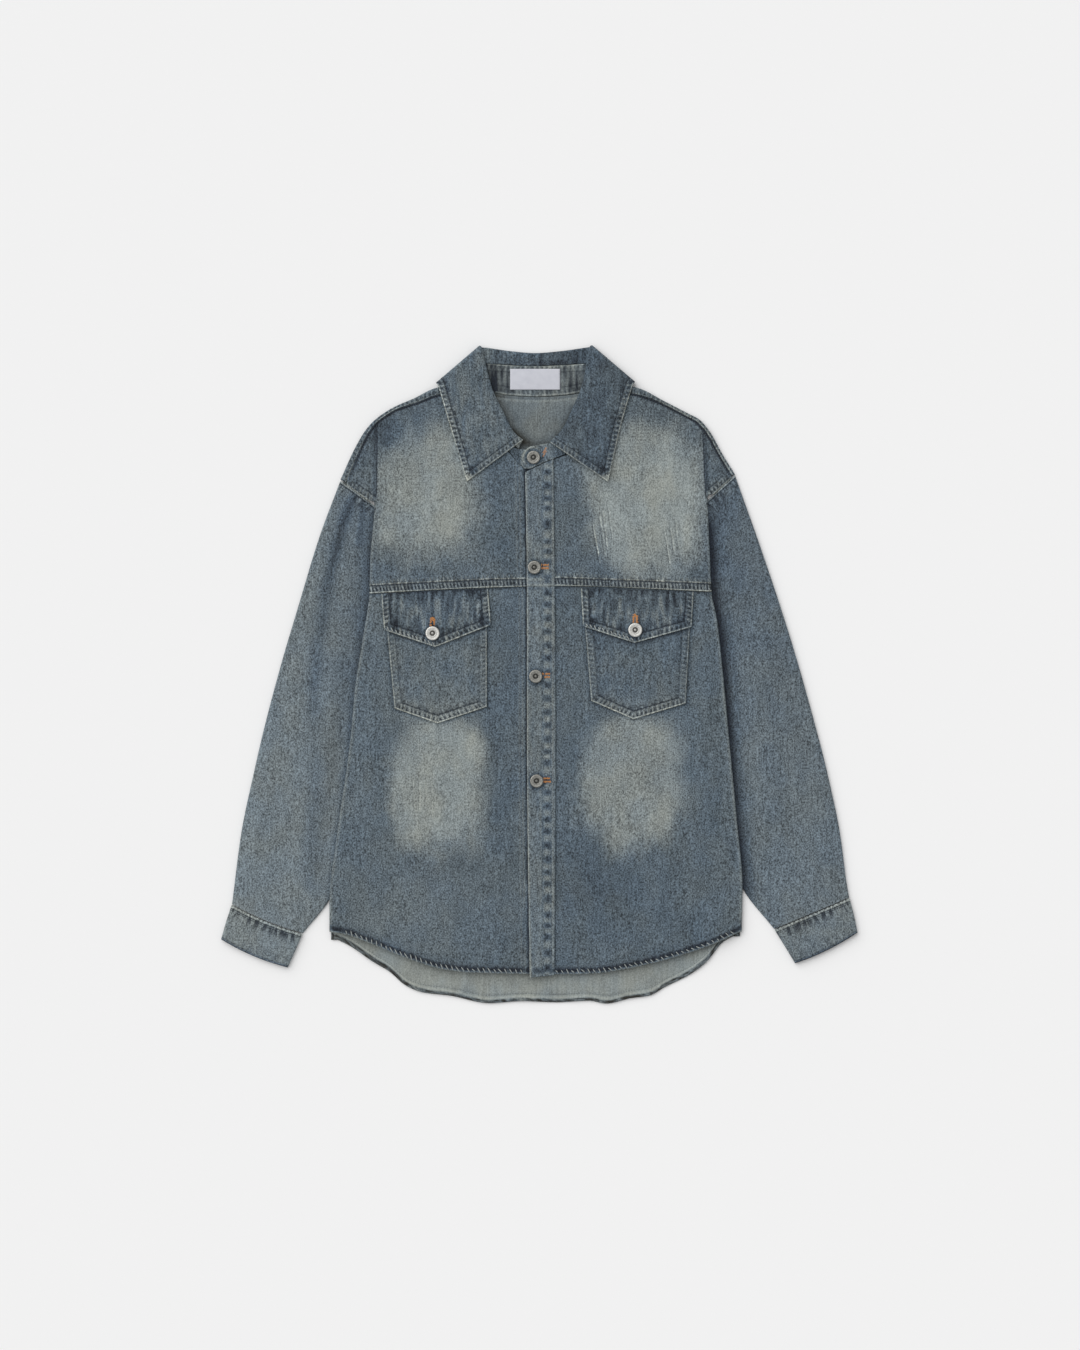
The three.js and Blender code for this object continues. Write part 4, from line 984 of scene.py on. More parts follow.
def rowLine(side, row):
    start, end = Vector((side["sign"] * row[0][0], row[0][1])), Vector((side["sign"] * row[1][0], row[1][1]))
    way = (end - start).normalized()
    down = Vector((-way.y, way.x)) * (-1 if way.x > 0 else 1)
    bow = row[2] if len(row) > 2 else 0
    return [tuple(start.lerp(end, t) + down * bow * 4 * t * (1 - t)) for t in (0, 0.25, 0.5, 0.75, 1)]


def tubeRing(width, step):
    shares = evenSteps(0, width, step)
    ring = [("bottom", t) for t in shares]
    ring += [("inner", k / 6) for k in range(1, 6)]
    ring += [("top", t) for t in reversed(shares)]
    ring += [("outer", 1 - k / 6) for k in range(1, 6)]
    return ring + [ring[0]]


def sleeveTop(side, x, y):
    name = "left" if side["sign"] < 0 else "right"
    beyond = side["sign"] * x - edgeAt(side, y)
    loose = smooth(18, 60, beyond)
    fat = min(toLine([row[k] for row in side["sleeve"]], abs(x), y) for k in (0, 1))
    free = smooth(4, 26, beyond) * smooth(0, 22, fat)
    swell = sleeves["lift"] + 1.0 * rough(x / 60, y / 90, 5.5) + 0.4 * rough(x / 22, y / 40, 8.1)
    relief = max(0, swell + creased(sleeves["creases"][name], abs(x), y))
    return lerp(sleeves["covered"], sleeves["shown"], loose) + relief * free


leftValley = [(-225, 212), (-236, 180), (-246, 142), (-256, 100), (-261, 57), (-267, 19), (-272, -20),
              (-266, -80), (-270, -150), (-275, -250)]


def sleeveWashAndShade(x, y):
    side = sideOf(x)
    beyond = abs(x) - edgeAt(side, y)
    if x < 0:
        washAndShade = 0.19 + 0.10 * smooth(120, -230, y) + 0.03 * rough(x / 30, y / 44, 2.0)
        # Paler away from the valley and darker in it: painted light and shade of the sleeve's lengthwise
        # fold, and painted shade in a short trough below the armhole.
        valley = toLine(leftValley, x, y)
        outer = x < steady(sorted((row[1], row[0]) for row in leftValley), y)
        washAndShade += (0.10 * smooth(4, 22, valley) if outer else 0.06 * bell(valley, 18, 9)) * smooth(240, 190, y)
        washAndShade -= (0.20 if y > -20 else 0.10) * bell(valley, 0, 8)
        washAndShade -= 0.30 * bell(valley, 0, 3.4) * smooth(90, 150, y)
        washAndShade -= 0.34 * bell(toLine([(-211, 204), (-217, 158)], x, y), 0, 3.2)
        # A painted shadow of the body's edge on the left sleeve.
        shade = 0.30 if y > 0 else 0.22
        washAndShade -= shade * bell(beyond, 0, 4) * smooth(204, 180, y)
        return washAndShade - 0.20 * bell(beyond, 3, 13) * smooth(-200, 60, y)
    washAndShade = 0.05 + 0.15 * smooth(190, -200, y) + 0.03 * rough(x / 30, y / 44, 2.0)
    washAndShade += 0.02 * bell(beyond, 70, 34)
    # A painted shadow of the body's edge on the right sleeve, wider and darker.
    return washAndShade - 0.62 * bell(beyond, 0, 8) * smooth(206, 170, y) - 0.14 * bell(beyond, 8, 12)


def cuffTop(side, x, y):
    sway = 0.5 * rough(x / 18, y / 18, 4)
    return sleeves["shown"] + 0.6 + max(0, 0.4 + sway)


def cuffWashAndShade(x, y):
    side = sideOf(x)
    washAndShade = (0.46 if x < 0 else 0.30) + 0.12 * rough(x / 14, y / 14, 3) + 0.1 * rough(x / 5, y / 8, 5)
    # Painted shade along the cuff's foot edge.
    return washAndShade - 1.15 * bell(toLine(rowLine(side, side["cuff"][-1]), x, y), 0, 1.5)


for name, side in sides.items():
    sign = side["sign"]
    ring = tubeRing(150, sleeves["step"])
    armhole, wrist = rowLine(side, side["sleeve"][0]), rowLine(side, side["sleeve"][-1])
    layCloth("sleeve_front_" + name, ring, evenSteps(0, 500, 3.6, (8, 10), 2.0),
             tubePlace(side, side["sleeve"], layers["shell"], sleeveTop), {
        **sleeveLook, "washAndShade": sleeveWashAndShade, "nodes": ["sleeve_" + name], "seams": [armhole, wrist],
        "strengths": [-1.0, 0.05], "pucker": 0.3, "flat": (0.38, 0.52)})
    tops, bottoms = rowLine(side, side["cuff"][0]), rowLine(side, side["cuff"][-1])
    layCloth("cuff_band_" + name, tubeRing(90, 2.2), evenSteps(0, 44, 1.6),
             tubePlace(side, side["cuff"], sleeves["cuffWall"], cuffTop), {
        **sleeveLook, "washAndShade": cuffWashAndShade, "thickness": sleeves["cuffWall"],
        "nodes": ["cuff_" + name], "seams": [tops, bottoms], "strengths": [-1.6, -0.4],
        "pucker": 0.45, "flat": (0.2, 0.046), "restsOn": ["sleeve_front_" + name]})


# Pockets and flaps

patches = {"pocketUnder": 6.4, "flapUnder": 7.9, "flapWall": 1.2, "step": 1.9, "flapStep": 1.6}


def patchPlace(side, shape, underAt, puff, curl):
    topOut, topIn, footOut, point, footIn = placed(side, shape)

    def place(share, fall):
        top = (lerp(topOut[0], topIn[0], share), lerp(topOut[1], topIn[1], share))
        if share < 0.5:
            half = (lerp(footOut[0], point[0], share * 2), lerp(footOut[1], point[1], share * 2))
        else:
            half = (lerp(point[0], footIn[0], share * 2 - 1), lerp(point[1], footIn[1], share * 2 - 1))
        x, y = lerp(top[0], half[0], fall), lerp(top[1], half[1], fall)
        crown = puff * sin(pi * share) ** 0.6 * sin(pi * min(fall + 0.05, 1)) ** 0.6
        edge = curl * smooth(0.7, 1, fall) * (0.6 + 0.4 * cos(6 * share))
        wave = 0.35 * max(0, rough(x / 22, y / 16, 3.3) + 0.2)
        return x, y, underAt(y) + 0.6 + crown + edge + wave + bodyRelief(x, y)

    return place


button = {
    "front": [(-7, 261, "button_1", 8.3), (-6, 129, "button_2", 9.6), (-4.3, -1.6, "button_3", 9.6),
              (-3.2, -127, "button_4", 9.6)],
    "flap": [(-128, 50, "flap_button_left", 9.4), (115, 54, "flap_button_right", 9.4)],
    "frontRadius": 8, "flapRadius": 8.5,
}


def flapUnder(y):
    return lerp(patches["flapUnder"], patches["pocketUnder"], smooth(86, 100, y))


def pocketWashAndShade(x, y):
    side = sideOf(x)
    washAndShade = (0.13 if x < 0 else 0.05) + 0.07 * rough(x / 20, y / 20, 7) + 0.09 * rough(x / 7, y / 26, 3)
    washAndShade += 0.36 * smooth(-16, -56, y) * bell(abs(x), 118, 46)
    shape = placed(side, side["flap"][2:])
    # A painted shadow of the flap's lower edge on the pocket.
    return washAndShade - 0.44 * bell(toLine(shape, x, y), 0, 3.4) - 0.07 * bell(toLine(shape, x, y), 8, 9)


def flapWashAndShade(x, y):
    washAndShade = -0.06 + 0.2 * rough(x / 14, y / 14, 5) + 0.56 * rough(x / 4.2, y / 24, 9)
    washAndShade += 0.19 * bell(y, 74, 12) * (bell(abs(x), 104, 18) + bell(abs(x), 145, 20))
    side = sideOf(x)
    for k in (2, 4):
        cornerX, cornerY = side["sign"] * side["flap"][k][0], side["flap"][k][1]
        inX = cornerX + math.copysign(11, side["sign"] * 120 - cornerX)
        washAndShade -= 0.5 * exp(-((x - inX) / 5) ** 2 - ((y - cornerY - 5) / 8) ** 2)
    # A painted shadow ring round each flap button, set off towards the lower right.
    for x0, y0, node, seat in button["flap"]:
        washAndShade -= 0.3 * bell(hypot(x - x0 - 1, y - y0 + 1), 9.5, 2.2)
    # A painted shadow under the yoke band's edge, with dark dashes below it painted as shade.
    under = steady(yokeFoot, x) - y
    washAndShade -= (0.40 + 0.2 * rough(x / 3, 3, 3)) * bell(under, 1.2, 2)
    return washAndShade - (0.06 + 0.8 * max(0, rough(x / 2.6, y / 16, 6))) * bell(under, 6, 6)


for name, side in sides.items():
    pocketRing, flapRing = shapeRing(side, "pocket"), shapeRing(side, "flap")
    layCloth("pocket_patch_" + name, evenSteps(0, 120, patches["step"]), evenSteps(0, 130, patches["step"]),
             patchPlace(side, side["pocket"], lambda y: patches["pocketUnder"], 0.7, 0), {
        **trimLook, "washAndShade": pocketWashAndShade, "nodes": ["pocket_" + name],
        "seams": [pocketRing[:2], pocketRing[1:4], pocketRing[3:]],
        "strengths": [0.5, 1.0, 0.5], "pucker": 0.35, "flat": (0.125, 0.14),
        "restsOn": ["lower_front_" + name]})
    layCloth("pocket_flap_" + name, evenSteps(0, 128, patches["flapStep"]),
             evenSteps(0, 66, patches["flapStep"]),
             patchPlace(side, side["flap"], flapUnder, 0.9, 0.9), {
        **trimLook, "washAndShade": flapWashAndShade, "thickness": patches["flapWall"],
        "nodes": ["flap_" + name], "seams": [flapRing], "pucker": 0.45,
        "corners": [(*flapRing[1], 4), (*flapRing[3], 4)], "flat": (0.135, 0.07),
        "restsOn": ["pocket_patch_" + name]})


# Placket, in an upper and a lower length that meet in the yoke seam

placket = {"under": 7.3, "seam": 106.5, "crease": 3.6}


def placketPlace(topAt, footAt):
    def place(share, fall):
        y = lerp(topAt(share), footAt(share), fall)
        sway = 0.35 * rough(y / 22, 0, 4) + 0.25 * rough(y / 8, 3, 4)
        left, right = steady(placketLeft, y) + sway, steady(placketRight, y)
        if share < 0:
            turn = (1 + share) * pi
            x = left + 0.6 - 0.6 * sin(turn) - share * 2.4
            return x, y, placket["under"] + 0.6 + 0.4 * (1 - cos(turn)) + bodyRelief(left, y)
        x = lerp(left + 0.6, right, share)
        crease = -0.5 * bell(x, placket["crease"], 1.1)
        tuck = sin(y / 2.55 + 2.6 * rough(y / 30, 8, 1))
        bumps = 0.5 * tuck * bell(x, 10, 5) + 0.25 * sin(y / 0.8) * bell(x, 12, 3)
        slope = 1.4 * smooth(0.7, 1, share) - 0.25 * bell(share, 0.03, 0.06)
        return x, y, placket["under"] + 1.4 + crease + bumps - slope + bodyRelief(x, y)
    return place


def placketWashAndShade(x, y):
    tuck = sin(y / 2.55 + 2.6 * rough(y / 30, 8, 1))
    washAndShade = 0.18 + 0.09 * rough(x / 6, y / 16, 2) + 0.14 * rough(x / 3, y / 30, 8)
    # The placket's left edge is pale from wear and a painted highlight; its crease has painted shade, with a
    # painted highlight on its left slope.
    washAndShade += 0.62 * bell(x, steady(placketLeft, y) + 0.5, 1.3) - 0.10 * bell(x, placket["crease"], 1.4)
    washAndShade += 0.10 * bell(x, placket["crease"] - 2, 1.2) + 0.30 * bell(x, 16.2, 1.1) - 0.10 * bell(x, 13.8, 1)
    washAndShade += (0.34 * max(0, -tuck) - 0.56 * max(0, tuck)) * bell(x, 9.6, 3.8)
    washAndShade += 0.44 * bell(y, 114.6, 1.4) + 0.40 * bell(y, 107.5, 1.4)
    # A painted shadow just below the yoke band.
    washAndShade += 0.1 * bell(y, 111, 4) - 0.2 * bell(y, 104, 1.6)
    # A painted shadow ring round each front button, set off towards the lower right.
    for x0, y0, node, seat in button["front"]:
        washAndShade -= 0.34 * bell(hypot(x - x0 - 0.6, y - y0 + 0.6), 9, 2)
    return washAndShade - 0.45 * bell(y, -354.5, 3) * smooth(-10, -5, x)


placketEnds = {
    "upper": (lambda share: lerp(243.5, 259, share), lambda share: placket["seam"]),
    "lower": (lambda share: placket["seam"] - 0.3, lambda share: -363 + 3 * share),
}
for name, (topAt, footAt) in placketEnds.items():
    length = topAt(0) - footAt(0)
    turned = [-1, -0.8, -0.6, -0.4, -0.2]
    layCloth("placket_" + name + "_band", turned + evenSteps(0, 34, 1.1), evenSteps(0, length, 1.6),
             placketPlace(topAt, footAt), {
        **trimLook, "washAndShade": placketWashAndShade, "nodes": ["placket_" + name],
        "flat": (0.035, length * mm), "area": 0.97 * 0.035 * length * mm,
        "restsOn": [("yoke" if name == "upper" else "lower") + "_front_right"]})


# Collar leaf and stand, from the left front round the back of the neck to the right front

collar = {"shell": 1.5, "front": 6.25, "back": 1.75, "layer": 0.95, "crown": 1.5, "tabLift": 1.9}
collarSections = {
    "left": [
        ((-20.5, 281), (-87, 232), (-25, 271.5), (-18.5, 251)),
        ((-31.5, 290.5), (-93.5, 254), (-38, 284), (-38, 270)),
        ((-44.5, 315), (-103, 285), (-53, 309.5), (-62, 289)),
        ((-58.5, 345), (-112.5, 317), (-66, 344), (-80.8, 320.6)),
        ((-70, 392), (-121.5, 348), (-70, 373), (-83.6, 345)),
    ],
    "back": [
        ((-63.5, 391.5), (-98, 337), (-62, 374), (-72, 343.2)),
        ((-36, 387.5), (-50, 329), (-36, 372.5), (-38, 336.5)),
        ((-5, 385), (-5, 327), (-5, 371.5), (-5, 334.5)),
        ((27, 387.5), (41, 329), (27, 372.5), (30, 336.5)),
        ((55, 391.5), (88, 338), (53, 374), (66, 343.2)),
    ],
    "right": [
        ((61.5, 392.5), (112.5, 349), (61, 373), (79.6, 345.5)),
        ((52.5, 347), (103, 318), (60, 346), (77.8, 323.6)),
        ((40.5, 318), (95, 287), (50, 312), (65, 294.2)),
        ((28.5, 294), (88, 256), (36, 288), (44.6, 271.3)),
        ((13.5, 278.5), (82.5, 231.5), (20, 280), (20, 260.8)),
    ],
}


def collarColumns():
    left, rear, right = collarSections["left"], collarSections["back"], collarSections["right"]
    columns = [(*row, 0, 0) for row in left]
    columns += [(*left[-1], turn, 0) for turn in (45, 90, 135, 180)]
    columns += [(*row, 180, 0) for row in rear]
    columns += [(*right[0], turn, 0) for turn in (180, 135, 90, 45)]
    lifts = [0, 0, 0, 0.9, collar["tabLift"]]
    return columns + [(*row, 0, lift) for row, lift in zip(right, lifts)]


def columnFinder(columns):  # roll, edge, seam, neck, turn and lift at a place along the collar
    rows = [(i, *row[0], *row[1], *row[2], *row[3], row[4], row[5]) for i, row in enumerate(columns)]
    found = {}

    def find(at):
        if at not in found:
            values = [steady(rows, at, k) for k in range(1, 11)]
            found[at] = (*(Vector(values[k:k + 2]) for k in (0, 2, 4, 6)), *values[8:])
        return found[at]

    return find


def outward(inner, outer):
    line = (outer - inner).normalized()
    away = Vector((-line.y, line.x))
    return -away if away.y < 0 else away


def onCollar(turn, lift, spot, away, layer):
    angle = math.radians(turn)
    reach = (collar["front"] - collar["back"]) / 2 + layer * collar["layer"]
    z = (collar["front"] + collar["back"]) / 2 + lift + cos(angle) * reach
    return Vector((spot.x + away.x * sin(angle) * reach, spot.y + away.y * sin(angle) * reach, z))


def collarRuns(columns, spread):
    runs = []
    for i, (row, after) in enumerate(zip(columns, columns[1:])):
        gap = max((Vector(row[k]) - Vector(after[k])).length for k in (0, 1))
        steps = max(4, round(gap / spread))
        runs += [i + k / steps for k in range(steps)]
    return runs + [len(columns) - 1]


leafColumns = collarColumns()
leafColumn = columnFinder(leafColumns)


def leafPlace(at, share):
    roll, edge, seam, neck, turn, lift = leafColumn(at)
    away = outward(edge, roll)
    way = (roll - edge).normalized()
    onFront = max(0, cos(math.radians(turn)))
    if share < 0.16:
        t = share / 0.16
        spot = onCollar(turn, lift, seam.lerp(roll, t), outward(neck, seam).lerp(away, t), -1)
        loose = 0
    elif share < 0.28:
        angle = (share - 0.16) / 0.12 * pi
        spot = onCollar(turn, lift, roll, away, -cos(angle))
        spot += Vector((way.x, way.y, 0)) * collar["layer"] * sin(angle)
        loose = 0
    else:
        t = (share - 0.28) / 0.72
        spot = onCollar(turn, lift, roll.lerp(edge, t), away, 1)
        crown = collar["crown"] * sin(pi * min(1, t * 0.92 + 0.06)) ** 0.8
        spot.z += onFront * (crown + 0.4 * max(0, rough(spot.x / 20, spot.y / 20, 2) + 0.3))
        loose = onFront * smooth(0.03, 0.12, t)
    spot.z += onFront * bodyRelief(spot.x, spot.y)
    return spot.x, spot.y, spot.z, loose


def collarWashAndShade(x, y):
    # The left leaf is painted paler and the right leaf darker, as its lit and shaded sides.
    washAndShade = (0.10 if x < 0 else -0.11) + 0.14 * rough(x / 16, y / 20, 3)
    washAndShade += 0.22 * rough(x / 4, y / 26, 5) + 0.05 * bell(y, 300, 30) * bell(abs(x), 92, 16)
    for cornerX, cornerY in ((-87, 232), (82.5, 231.5)):
        reach = hypot(x - cornerX, y - cornerY - 2)
        washAndShade += 1.7 * bell(reach, 0, 8)
        inX = cornerX + (6.5 if x < 0 else -5)
        washAndShade -= 0.75 * exp(-((x - inX) / 4.5) ** 2 - ((y - cornerY - 13) / 5.5) ** 2)
    if y > 366 and abs(x) < 56:
        washAndShade -= 0.10
        washAndShade += 0.16 * rough(x / 2.2, y / 9, 2) - 0.2 * bell(y - 0.0014 * x * x, 374.5, 2)
    return washAndShade


leftEdge = [row[1] for row in collarSections["left"]]
rightEdge = [row[1] for row in collarSections["right"]]
leafFeet = [[collarSections["left"][0][0], leftEdge[0]], [collarSections["right"][-1][0], rightEdge[-1]]]
leafSeams = [leftEdge, list(reversed(rightEdge))]
leafDown = [k / 40 for k in range(6)] + [0.15 + 0.13 * k / 9 for k in range(10)]
leafDown += [0.28 + 0.72 * k / 40 for k in range(1, 41)]
layCloth("collar", collarRuns(leafColumns, 1.9), leafDown, leafPlace, {
    **trimLook, "washAndShade": collarWashAndShade, "thickness": collar["shell"],
    "nodes": ["collar_leaf"], "seams": leafSeams + leafFeet, "strengths": [1, 1, 0.8, 0.8], "pucker": 0.4,
    "closer": 1.12, "corners": [(*leftEdge[0], 8), (*rightEdge[-1], 8)],
    "flat": (0.56, 0.095), "held": "folded", "restsOn": ["yoke_front_left", "yoke_front_right"]})

standEnds = [((8, 270), (82, 231), (9, 270), (10, 253), 0, 0)]
standTab = [
    ((8, 278), (60, 240), (8, 278), (4, 254.4), 0, 1.9),
    ((-12, 274), (40, 240), (-12, 274), (-12, 247.4), 0, 1.9),
    ((-17.8, 268), (30, 240), (-17.8, 268), (-17.5, 247.6), 0, 1.9),
    ((-20.5, 262), (20, 240), (-20.5, 262), (-20.5, 251), 0, 1.9),
]
standColumns = standEnds + leafColumns + standTab
standColumn = columnFinder(standColumns)


def standPlace(at, share):
    roll, edge, seam, neck, turn, lift = standColumn(at)
    spot = onCollar(turn, lift, neck.lerp(seam, share * 0.98), outward(neck, seam), -1)
    return spot.x, spot.y, spot.z, 1 if turn > 170 else 0.6


tabEdge = [(24, 261), (4, 253.6), (-12, 247.4), (-17.5, 247.6), (-20.5, 251), (-20.5, 262), (-17.8, 268),
           (-12, 274), (8, 278)]


def standWashAndShade(x, y):
    if y < 292:
        ring = hypot(x + 7, y - 261)
        # Painted shadow of the right leaf towards the tab's right, painted shade round the button's edge, a
        # painted highlight on the upper left of the ring seam, and painted shadow under the left leaf past
        # the tab's left end.
        washAndShade = 0.20 + 0.08 * rough(x / 8, y / 8, 1) - 0.35 * smooth(10, 26, x) - 0.3 * bell(ring, 9.2, 1.8)
        washAndShade += 0.34 * bell(ring, 12.4, 1.2) * smooth(4, -4, x - y + 268) - 0.22 * bell(ring, 14.6, 1.4)
        return washAndShade + 0.4 * bell(toLine(tabEdge, x, y), 0.6, 1.2) - 0.3 * smooth(-21.5, -24, x)
    washAndShade = -0.07 + 0.12 * rough(x / 12, y / 12, 1) + 0.62 * rough(x / 3.6, y / 30, 6)
    washAndShade += 0.30 * bell(y, 337, 1.8) * smooth(60, 50, abs(x + 5)) - 0.12 * bell(y, 344, 5)
    # Painted shade on the stand's left under the left leaf, and a painted shadow beside the left roll.
    washAndShade += 0.5 * bell(y - 0.0019 * x * x, 369, 1.4) - 0.3 * smooth(-34, -56, x)
    return washAndShade - 0.18 * bell(toLine(rollLine, x, y), 0, 9)


standSeams = [[row[3] for row in collarSections["back"]], [row[2] for row in collarSections["back"]]]
layCloth("collar_band", collarRuns(standColumns, 2.2), [k / 20 for k in range(21)], standPlace, {
    **trimLook, "washAndShade": standWashAndShade, "thickness": collar["shell"],
    "nodes": ["collar_stand"], "seams": standSeams, "pucker": 0.15,
    "flat": (0.5, 0.04), "held": "folded", "restsOn": ["back"]})


# Neck label, blank

label = {"x": -5, "y": 355, "width": 60, "height": 25, "under": 3.8}


def labelPlace(share, fall):
    x = label["x"] + (share - 0.5) * label["width"]
    y = label["y"] + (0.5 - fall) * label["height"]
    middle = sin(pi * fall)
    wave = 0.35 * sin(share * 5 + 1) * middle
    return x, y, label["under"] + 0.3 + 0.5 * sin(pi * share) * middle + max(0, wave), 0


layCloth("label", evenSteps(0, 60, 2), evenSteps(0, 25, 1.6), labelPlace, {
    "face": labelTape, "reverse": labelTape, "slot": "label_cloth", "washAndShade": lambda x, y: 0, "thickness": 0.5,
    "nodes": ["neck_label"], "flat": (0.06, 0.025), "restsOn": ["collar_band"], "area": 0.0015})


# Buttons: a rounded rim round a dished middle, on a short shank

def buttonPiece(name, x, y, seat, radius):
    rows = [(0, 0.2), (2.6, 0.2), (2.6, 0.8), (radius - 0.7, 0.8), (radius - 0.1, 1.1), (radius, 1.6),
            (radius - 0.15, 2.2), (radius - 0.6, 2.65), (radius - 1.2, 2.8), (radius - 1.9, 2.7), (4.2, 2.45),
            (3.7, 2.5), (3.35, 2.3), (3.1, 1.6), (2.2, 1.45), (1.7, 1.8), (1.0, 2.1), (0, 2.2)]
    bm = bmesh.new()
    verts = [bm.verts.new((r, 0, z)) for r, z in rows]
    for a, b in zip(verts, verts[1:]):
        bm.edges.new((a, b))
    bmesh.ops.spin(bm, geom=bm.verts[:] + bm.edges[:], cent=(0, 0, 0), axis=(0, 0, 1), angle=math.tau,
                   steps=40, use_merge=True)
    bmesh.ops.remove_doubles(bm, verts=bm.verts, dist=1e-4)
    bmesh.ops.recalc_face_normals(bm, faces=bm.faces)
    depthLayer = bm.verts.layers.float.new("depth")
    top = seat + bodyRelief(x, y)
    for vert in bm.verts:
        away = hypot(vert.co.x, vert.co.y)
        # Darker in the dish and groove: patina together with painted shade of the hollows; painted shade
        # round the rim's outer side.
        groove = 0.35 * bell(away, 4.3, 0.5) + 0.5 * smooth(radius - 0.5, radius, away)
        dish = 0.95 * (1 - smooth(3.0, 3.6, away)) * smooth(0.7, 1.6, away) + 0.3 * smooth(1.6, 0.5, away)
        vert[depthLayer] = min(1, dish + groove)
        vert.co = (vert.co + Vector((x, y, top))) * mm + shift
    return built(name, bm, flapMetal if "flap" in name else frontMetal)


for group, radius in (("front", button["frontRadius"]), ("flap", button["flapRadius"])):
    for x, y, node, seat in button[group]:
        made = buttonPiece("metal_" + node, x, y, seat, radius)
        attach(made, "root")
        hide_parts(node)
print("label and buttons made")


# Sewing: short threads laid on the cloth, and the orange buttonholes

threads = {  # size and spacing, unevenness, share left out, turn against the row, and the finish
    "seam": {"pitch": 3.2, "length": 2.3, "width": 0.6, "height": 0.35, "sway": 0.12, "missing": 0,
             "turn": 0, "finish": seamThread},
    "hole": {"pitch": 1.15, "length": 3.2, "width": 1.1, "height": 0.7, "sway": 0.36, "missing": 0.06,
             "turn": pi / 2, "finish": orangeThread},
    "flap": {"pitch": 5.2, "length": 6.6, "width": 1.5, "height": 1.4, "sway": 0.25, "missing": 0,
             "turn": -0.7, "finish": ropeThread},
    "hem": {"pitch": 6.4, "length": 8.2, "width": 1.4, "height": 1.4, "sway": 0.3, "missing": 0,
            "turn": -0.9, "finish": ropeThread},
}
insets = {"patch": (2.4, 8.4), "yoke": (2.4, 8.0), "cap": 2.4, "flapFoot": 3.2, "hemTwist": 3.0,
          "hemRow": 9.2, "backHem": 9, "placket": (1.6, 31.4), "collar": (2.1, 7.5),
           "frontUpper": (-11, -7.2),
          "frontLower": (-8.8, -5.6)}


def treeOf(names):
    bm = bmesh.new()
    for name in names:
        bm.from_mesh(bpy.data.objects[name].data)
    tree = BVHTree.FromBMesh(bm)
    bm.free()
    return tree


def insetLine(points, distance):
    return movedIn(points, lambda row: distance)


def bothLines(points, sign, distances):
    return [insetLine(points, sign * distance) for distance in distances]


def besidePlacket(heightsDown, distances):
    return [[(steady(placketLeft, y) + inset, y) for y in heightsDown] for inset in distances]


def walked(points, pitch):
    spots = []
    left = pitch / 2
    for (ax, ay), (bx, by) in zip(points, points[1:]):
        length = hypot(bx - ax, by - ay)
        while left < length:
            t = left / length
            spots.append((lerp(ax, bx, t), lerp(ay, by, t), math.atan2(by - ay, bx - ax)))
            left += pitch
        left -= length
    return spots


def sewRows(name, on, lines, kind="seam", wall=1.1):
    size = threads[kind]
    tree = treeOf(on)
    bm = bmesh.new()
    for x, y, angle in [spot for line in lines for spot in walked(line, size["pitch"])]:
        hit, normal, _, _ = tree.ray_cast(Vector((x, y, 60)) * mm + shift, Vector((0, 0, -1)))
        if hit is None:
            continue
        up = normal if normal.z > 0 else -normal
        turn = Vector((0, 0, 1)).rotation_difference(up).to_matrix().to_4x4()
        lay = Matrix.Translation(hit + up * wall / 2 * mm)
        long = size["length"] * random.uniform(1 - size["sway"], 1 + size["sway"])
        flat = Matrix.Diagonal((long * mm, size["width"] * mm, size["height"] * mm, 1))
        if random.random() < size["missing"]:
            continue
        spin = Matrix.Rotation(angle + size["turn"] + random.uniform(-1, 1) * size["sway"], 4, "Z")
        bmesh.ops.create_icosphere(bm, subdivisions=1, radius=0.5, matrix=lay @ turn @ spin @ flat)
    made = built(name, bm, size["finish"])
    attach(made, "root")


for name, side in sides.items():
    sign = side["sign"]
    pocketLine, flapLine = shapeRing(side, "pocket"), shapeRing(side, "flap")
    onFlap, onYoke, onLower = ["pocket_flap_" + name], ["yoke_front_" + name], ["lower_front_" + name]
    foot = sorted(insetLine(flapLine, sign * insets["flapFoot"])[1:4])
    bands = [[(sign * x, steady(yokeFoot, sign * x) + lift) for x in (16, 60, 110, 160, 200)]
             for lift in insets["yoke"]]
    cap = placed(side, insetLine(seamLineOf(side), insets["cap"]))
    hems = [[(sign * x, steady(frontHem, sign * x) + insets[lift]) for x in range(18, 242, 8)]
            for lift in ("hemTwist", "hemRow")]
    patchRows = bothLines(pocketLine, sign, insets["patch"])
    sewRows("pocket_stitches_" + name, ["pocket_patch_" + name], patchRows)
    flapRows = bothLines(flapLine, sign, insets["patch"])
    sewRows("flap_stitches_" + name, onFlap, flapRows, wall=1.2)
    sewRows("flap_twists_" + name, onFlap, [foot[:2]], "flap", 1.0)
    sewRows("yoke_stitches_" + name, onYoke, bands + [cap])
    sewRows("hem_twists_" + name, onLower, hems[:1], "hem", 0.8)
    sewRows("hem_stitches_" + name, onLower, hems[1:])
    if name == "left":
        upper = besidePlacket((246, 180, 112), insets["frontUpper"])
        lower = besidePlacket((94, 0, -120, -240, -350), insets["frontLower"])
        sewRows("front_stitches_upper", onYoke, upper)
        sewRows("front_stitches_lower", onLower, lower)
    x, y = button["flap"][0 if name == "left" else 1][:2]
    rows = [[(x + aside, y + 8.5), (x + aside * 0.8, y + 19)] for aside in (-2.2, 2.2)]
    rows.append([(x, y + 15), (x, y + 20)])
    sewRows("flap_buttonhole_" + name, onFlap, rows, "hole", 1.2)

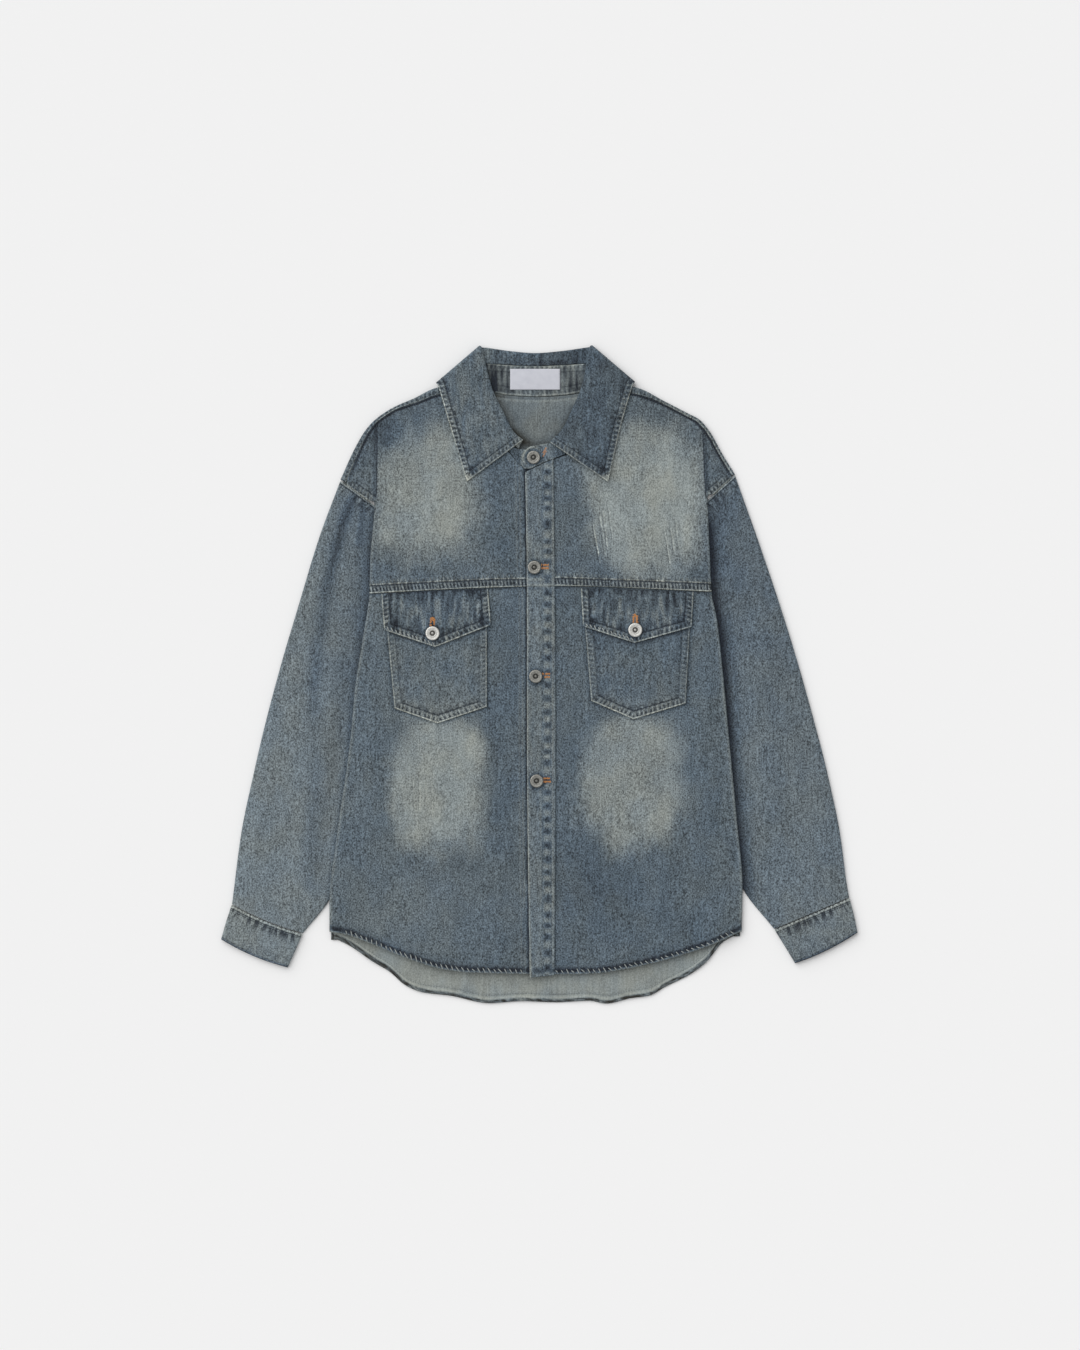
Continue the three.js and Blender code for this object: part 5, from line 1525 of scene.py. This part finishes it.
backRow = [(x, steady(backHem, x) + insets["backHem"]) for x in range(-232, 232, 8)]
sewRows("back_hem_stitches", ["back"], [backRow])
onPlacket = ["placket_upper_band", "placket_lower_band", "collar_band"]
rows = []
for k, (x, y, node, seat) in enumerate(button["front"]):
    start = (8, y + 1) if k else (11.5, y + 3)
    end = (17, y + 1) if k else (15.5, y + 10)
    rows += [[(x + start[0], start[1] + aside), (x + end[0], end[1] + aside)] for aside in (-1.9, 1.9)]
sewRows("front_buttonholes", onPlacket, rows, "hole")
edges = besidePlacket((240, 180, 120, 0, -120, -240, -355), insets["placket"])
sewRows("placket_stitches", onPlacket, edges)
leafLines = []
for foot, edgeLine, turn in ((leafFeet[0], leafSeams[0], 1), (leafFeet[1], leafSeams[1], -1)):
    leafLines += bothLines(foot[:1] + edgeLine, turn, insets["collar"])
leafLines += [[(-44, 381), (-5, 379.5), (38, 381)], [(-52, 375), (-5, 373.4), (44, 375)]]
sewRows("collar_stitches", ["collar"], leafLines, wall=1.5)
print("sewing laid")


# Floor, light and camera

floor = {"size": 6.0, "tone": 0.9}
light = {"sky": 0.54, "lamp": 2.02, "softness": 1.2, "at": (-2.3, 2.1, 2.9)}
view = {"lens": 100, "sensor": 36, "aside": 0.00084, "height": 4.506, "reach": 30}


pale = (floor["tone"], floor["tone"], floor["tone"], 1)
floorFinish = Finish("plain pale floor").close(pale, 0.9, values={"Specular IOR Level": 0.1})
bm = bmesh.new()
bmesh.ops.create_grid(bm, x_segments=1, y_segments=1, size=floor["size"] / 2)
bmesh.ops.translate(bm, verts=bm.verts, vec=(0, 0, -0.0002))
floorPiece = built("floor", bm, floorFinish)

world = bpy.data.worlds.new("studio")
world.use_nodes = True
world.node_tree.nodes["Background"].inputs[0].default_value = (1, 1, 1, 1)
world.node_tree.nodes["Background"].inputs[1].default_value = light["sky"]
bpy.context.scene.world = world
lampData = bpy.data.lights.new("window light", "SUN")
lampData.energy = light["lamp"]
lampData.angle = light["softness"]
lamp = bpy.data.objects.new("window light", lampData)
lamp.location = light["at"]
lamp.rotation_euler = (-lamp.location).to_track_quat("-Z", "Y").to_euler()
bpy.context.scene.collection.objects.link(lamp)

cameraData = bpy.data.cameras.new("camera")
cameraData.lens = view["lens"]
cameraData.sensor_width = view["sensor"]
cameraData.clip_end = view["reach"]
camera = bpy.data.objects.new("camera", cameraData)
camera.location = (view["aside"] + shift.x, shift.y, view["height"])
bpy.context.scene.collection.objects.link(camera)
bpy.context.scene.camera = camera
bpy.context.scene.view_settings.view_transform = "Standard"
print("stage set")
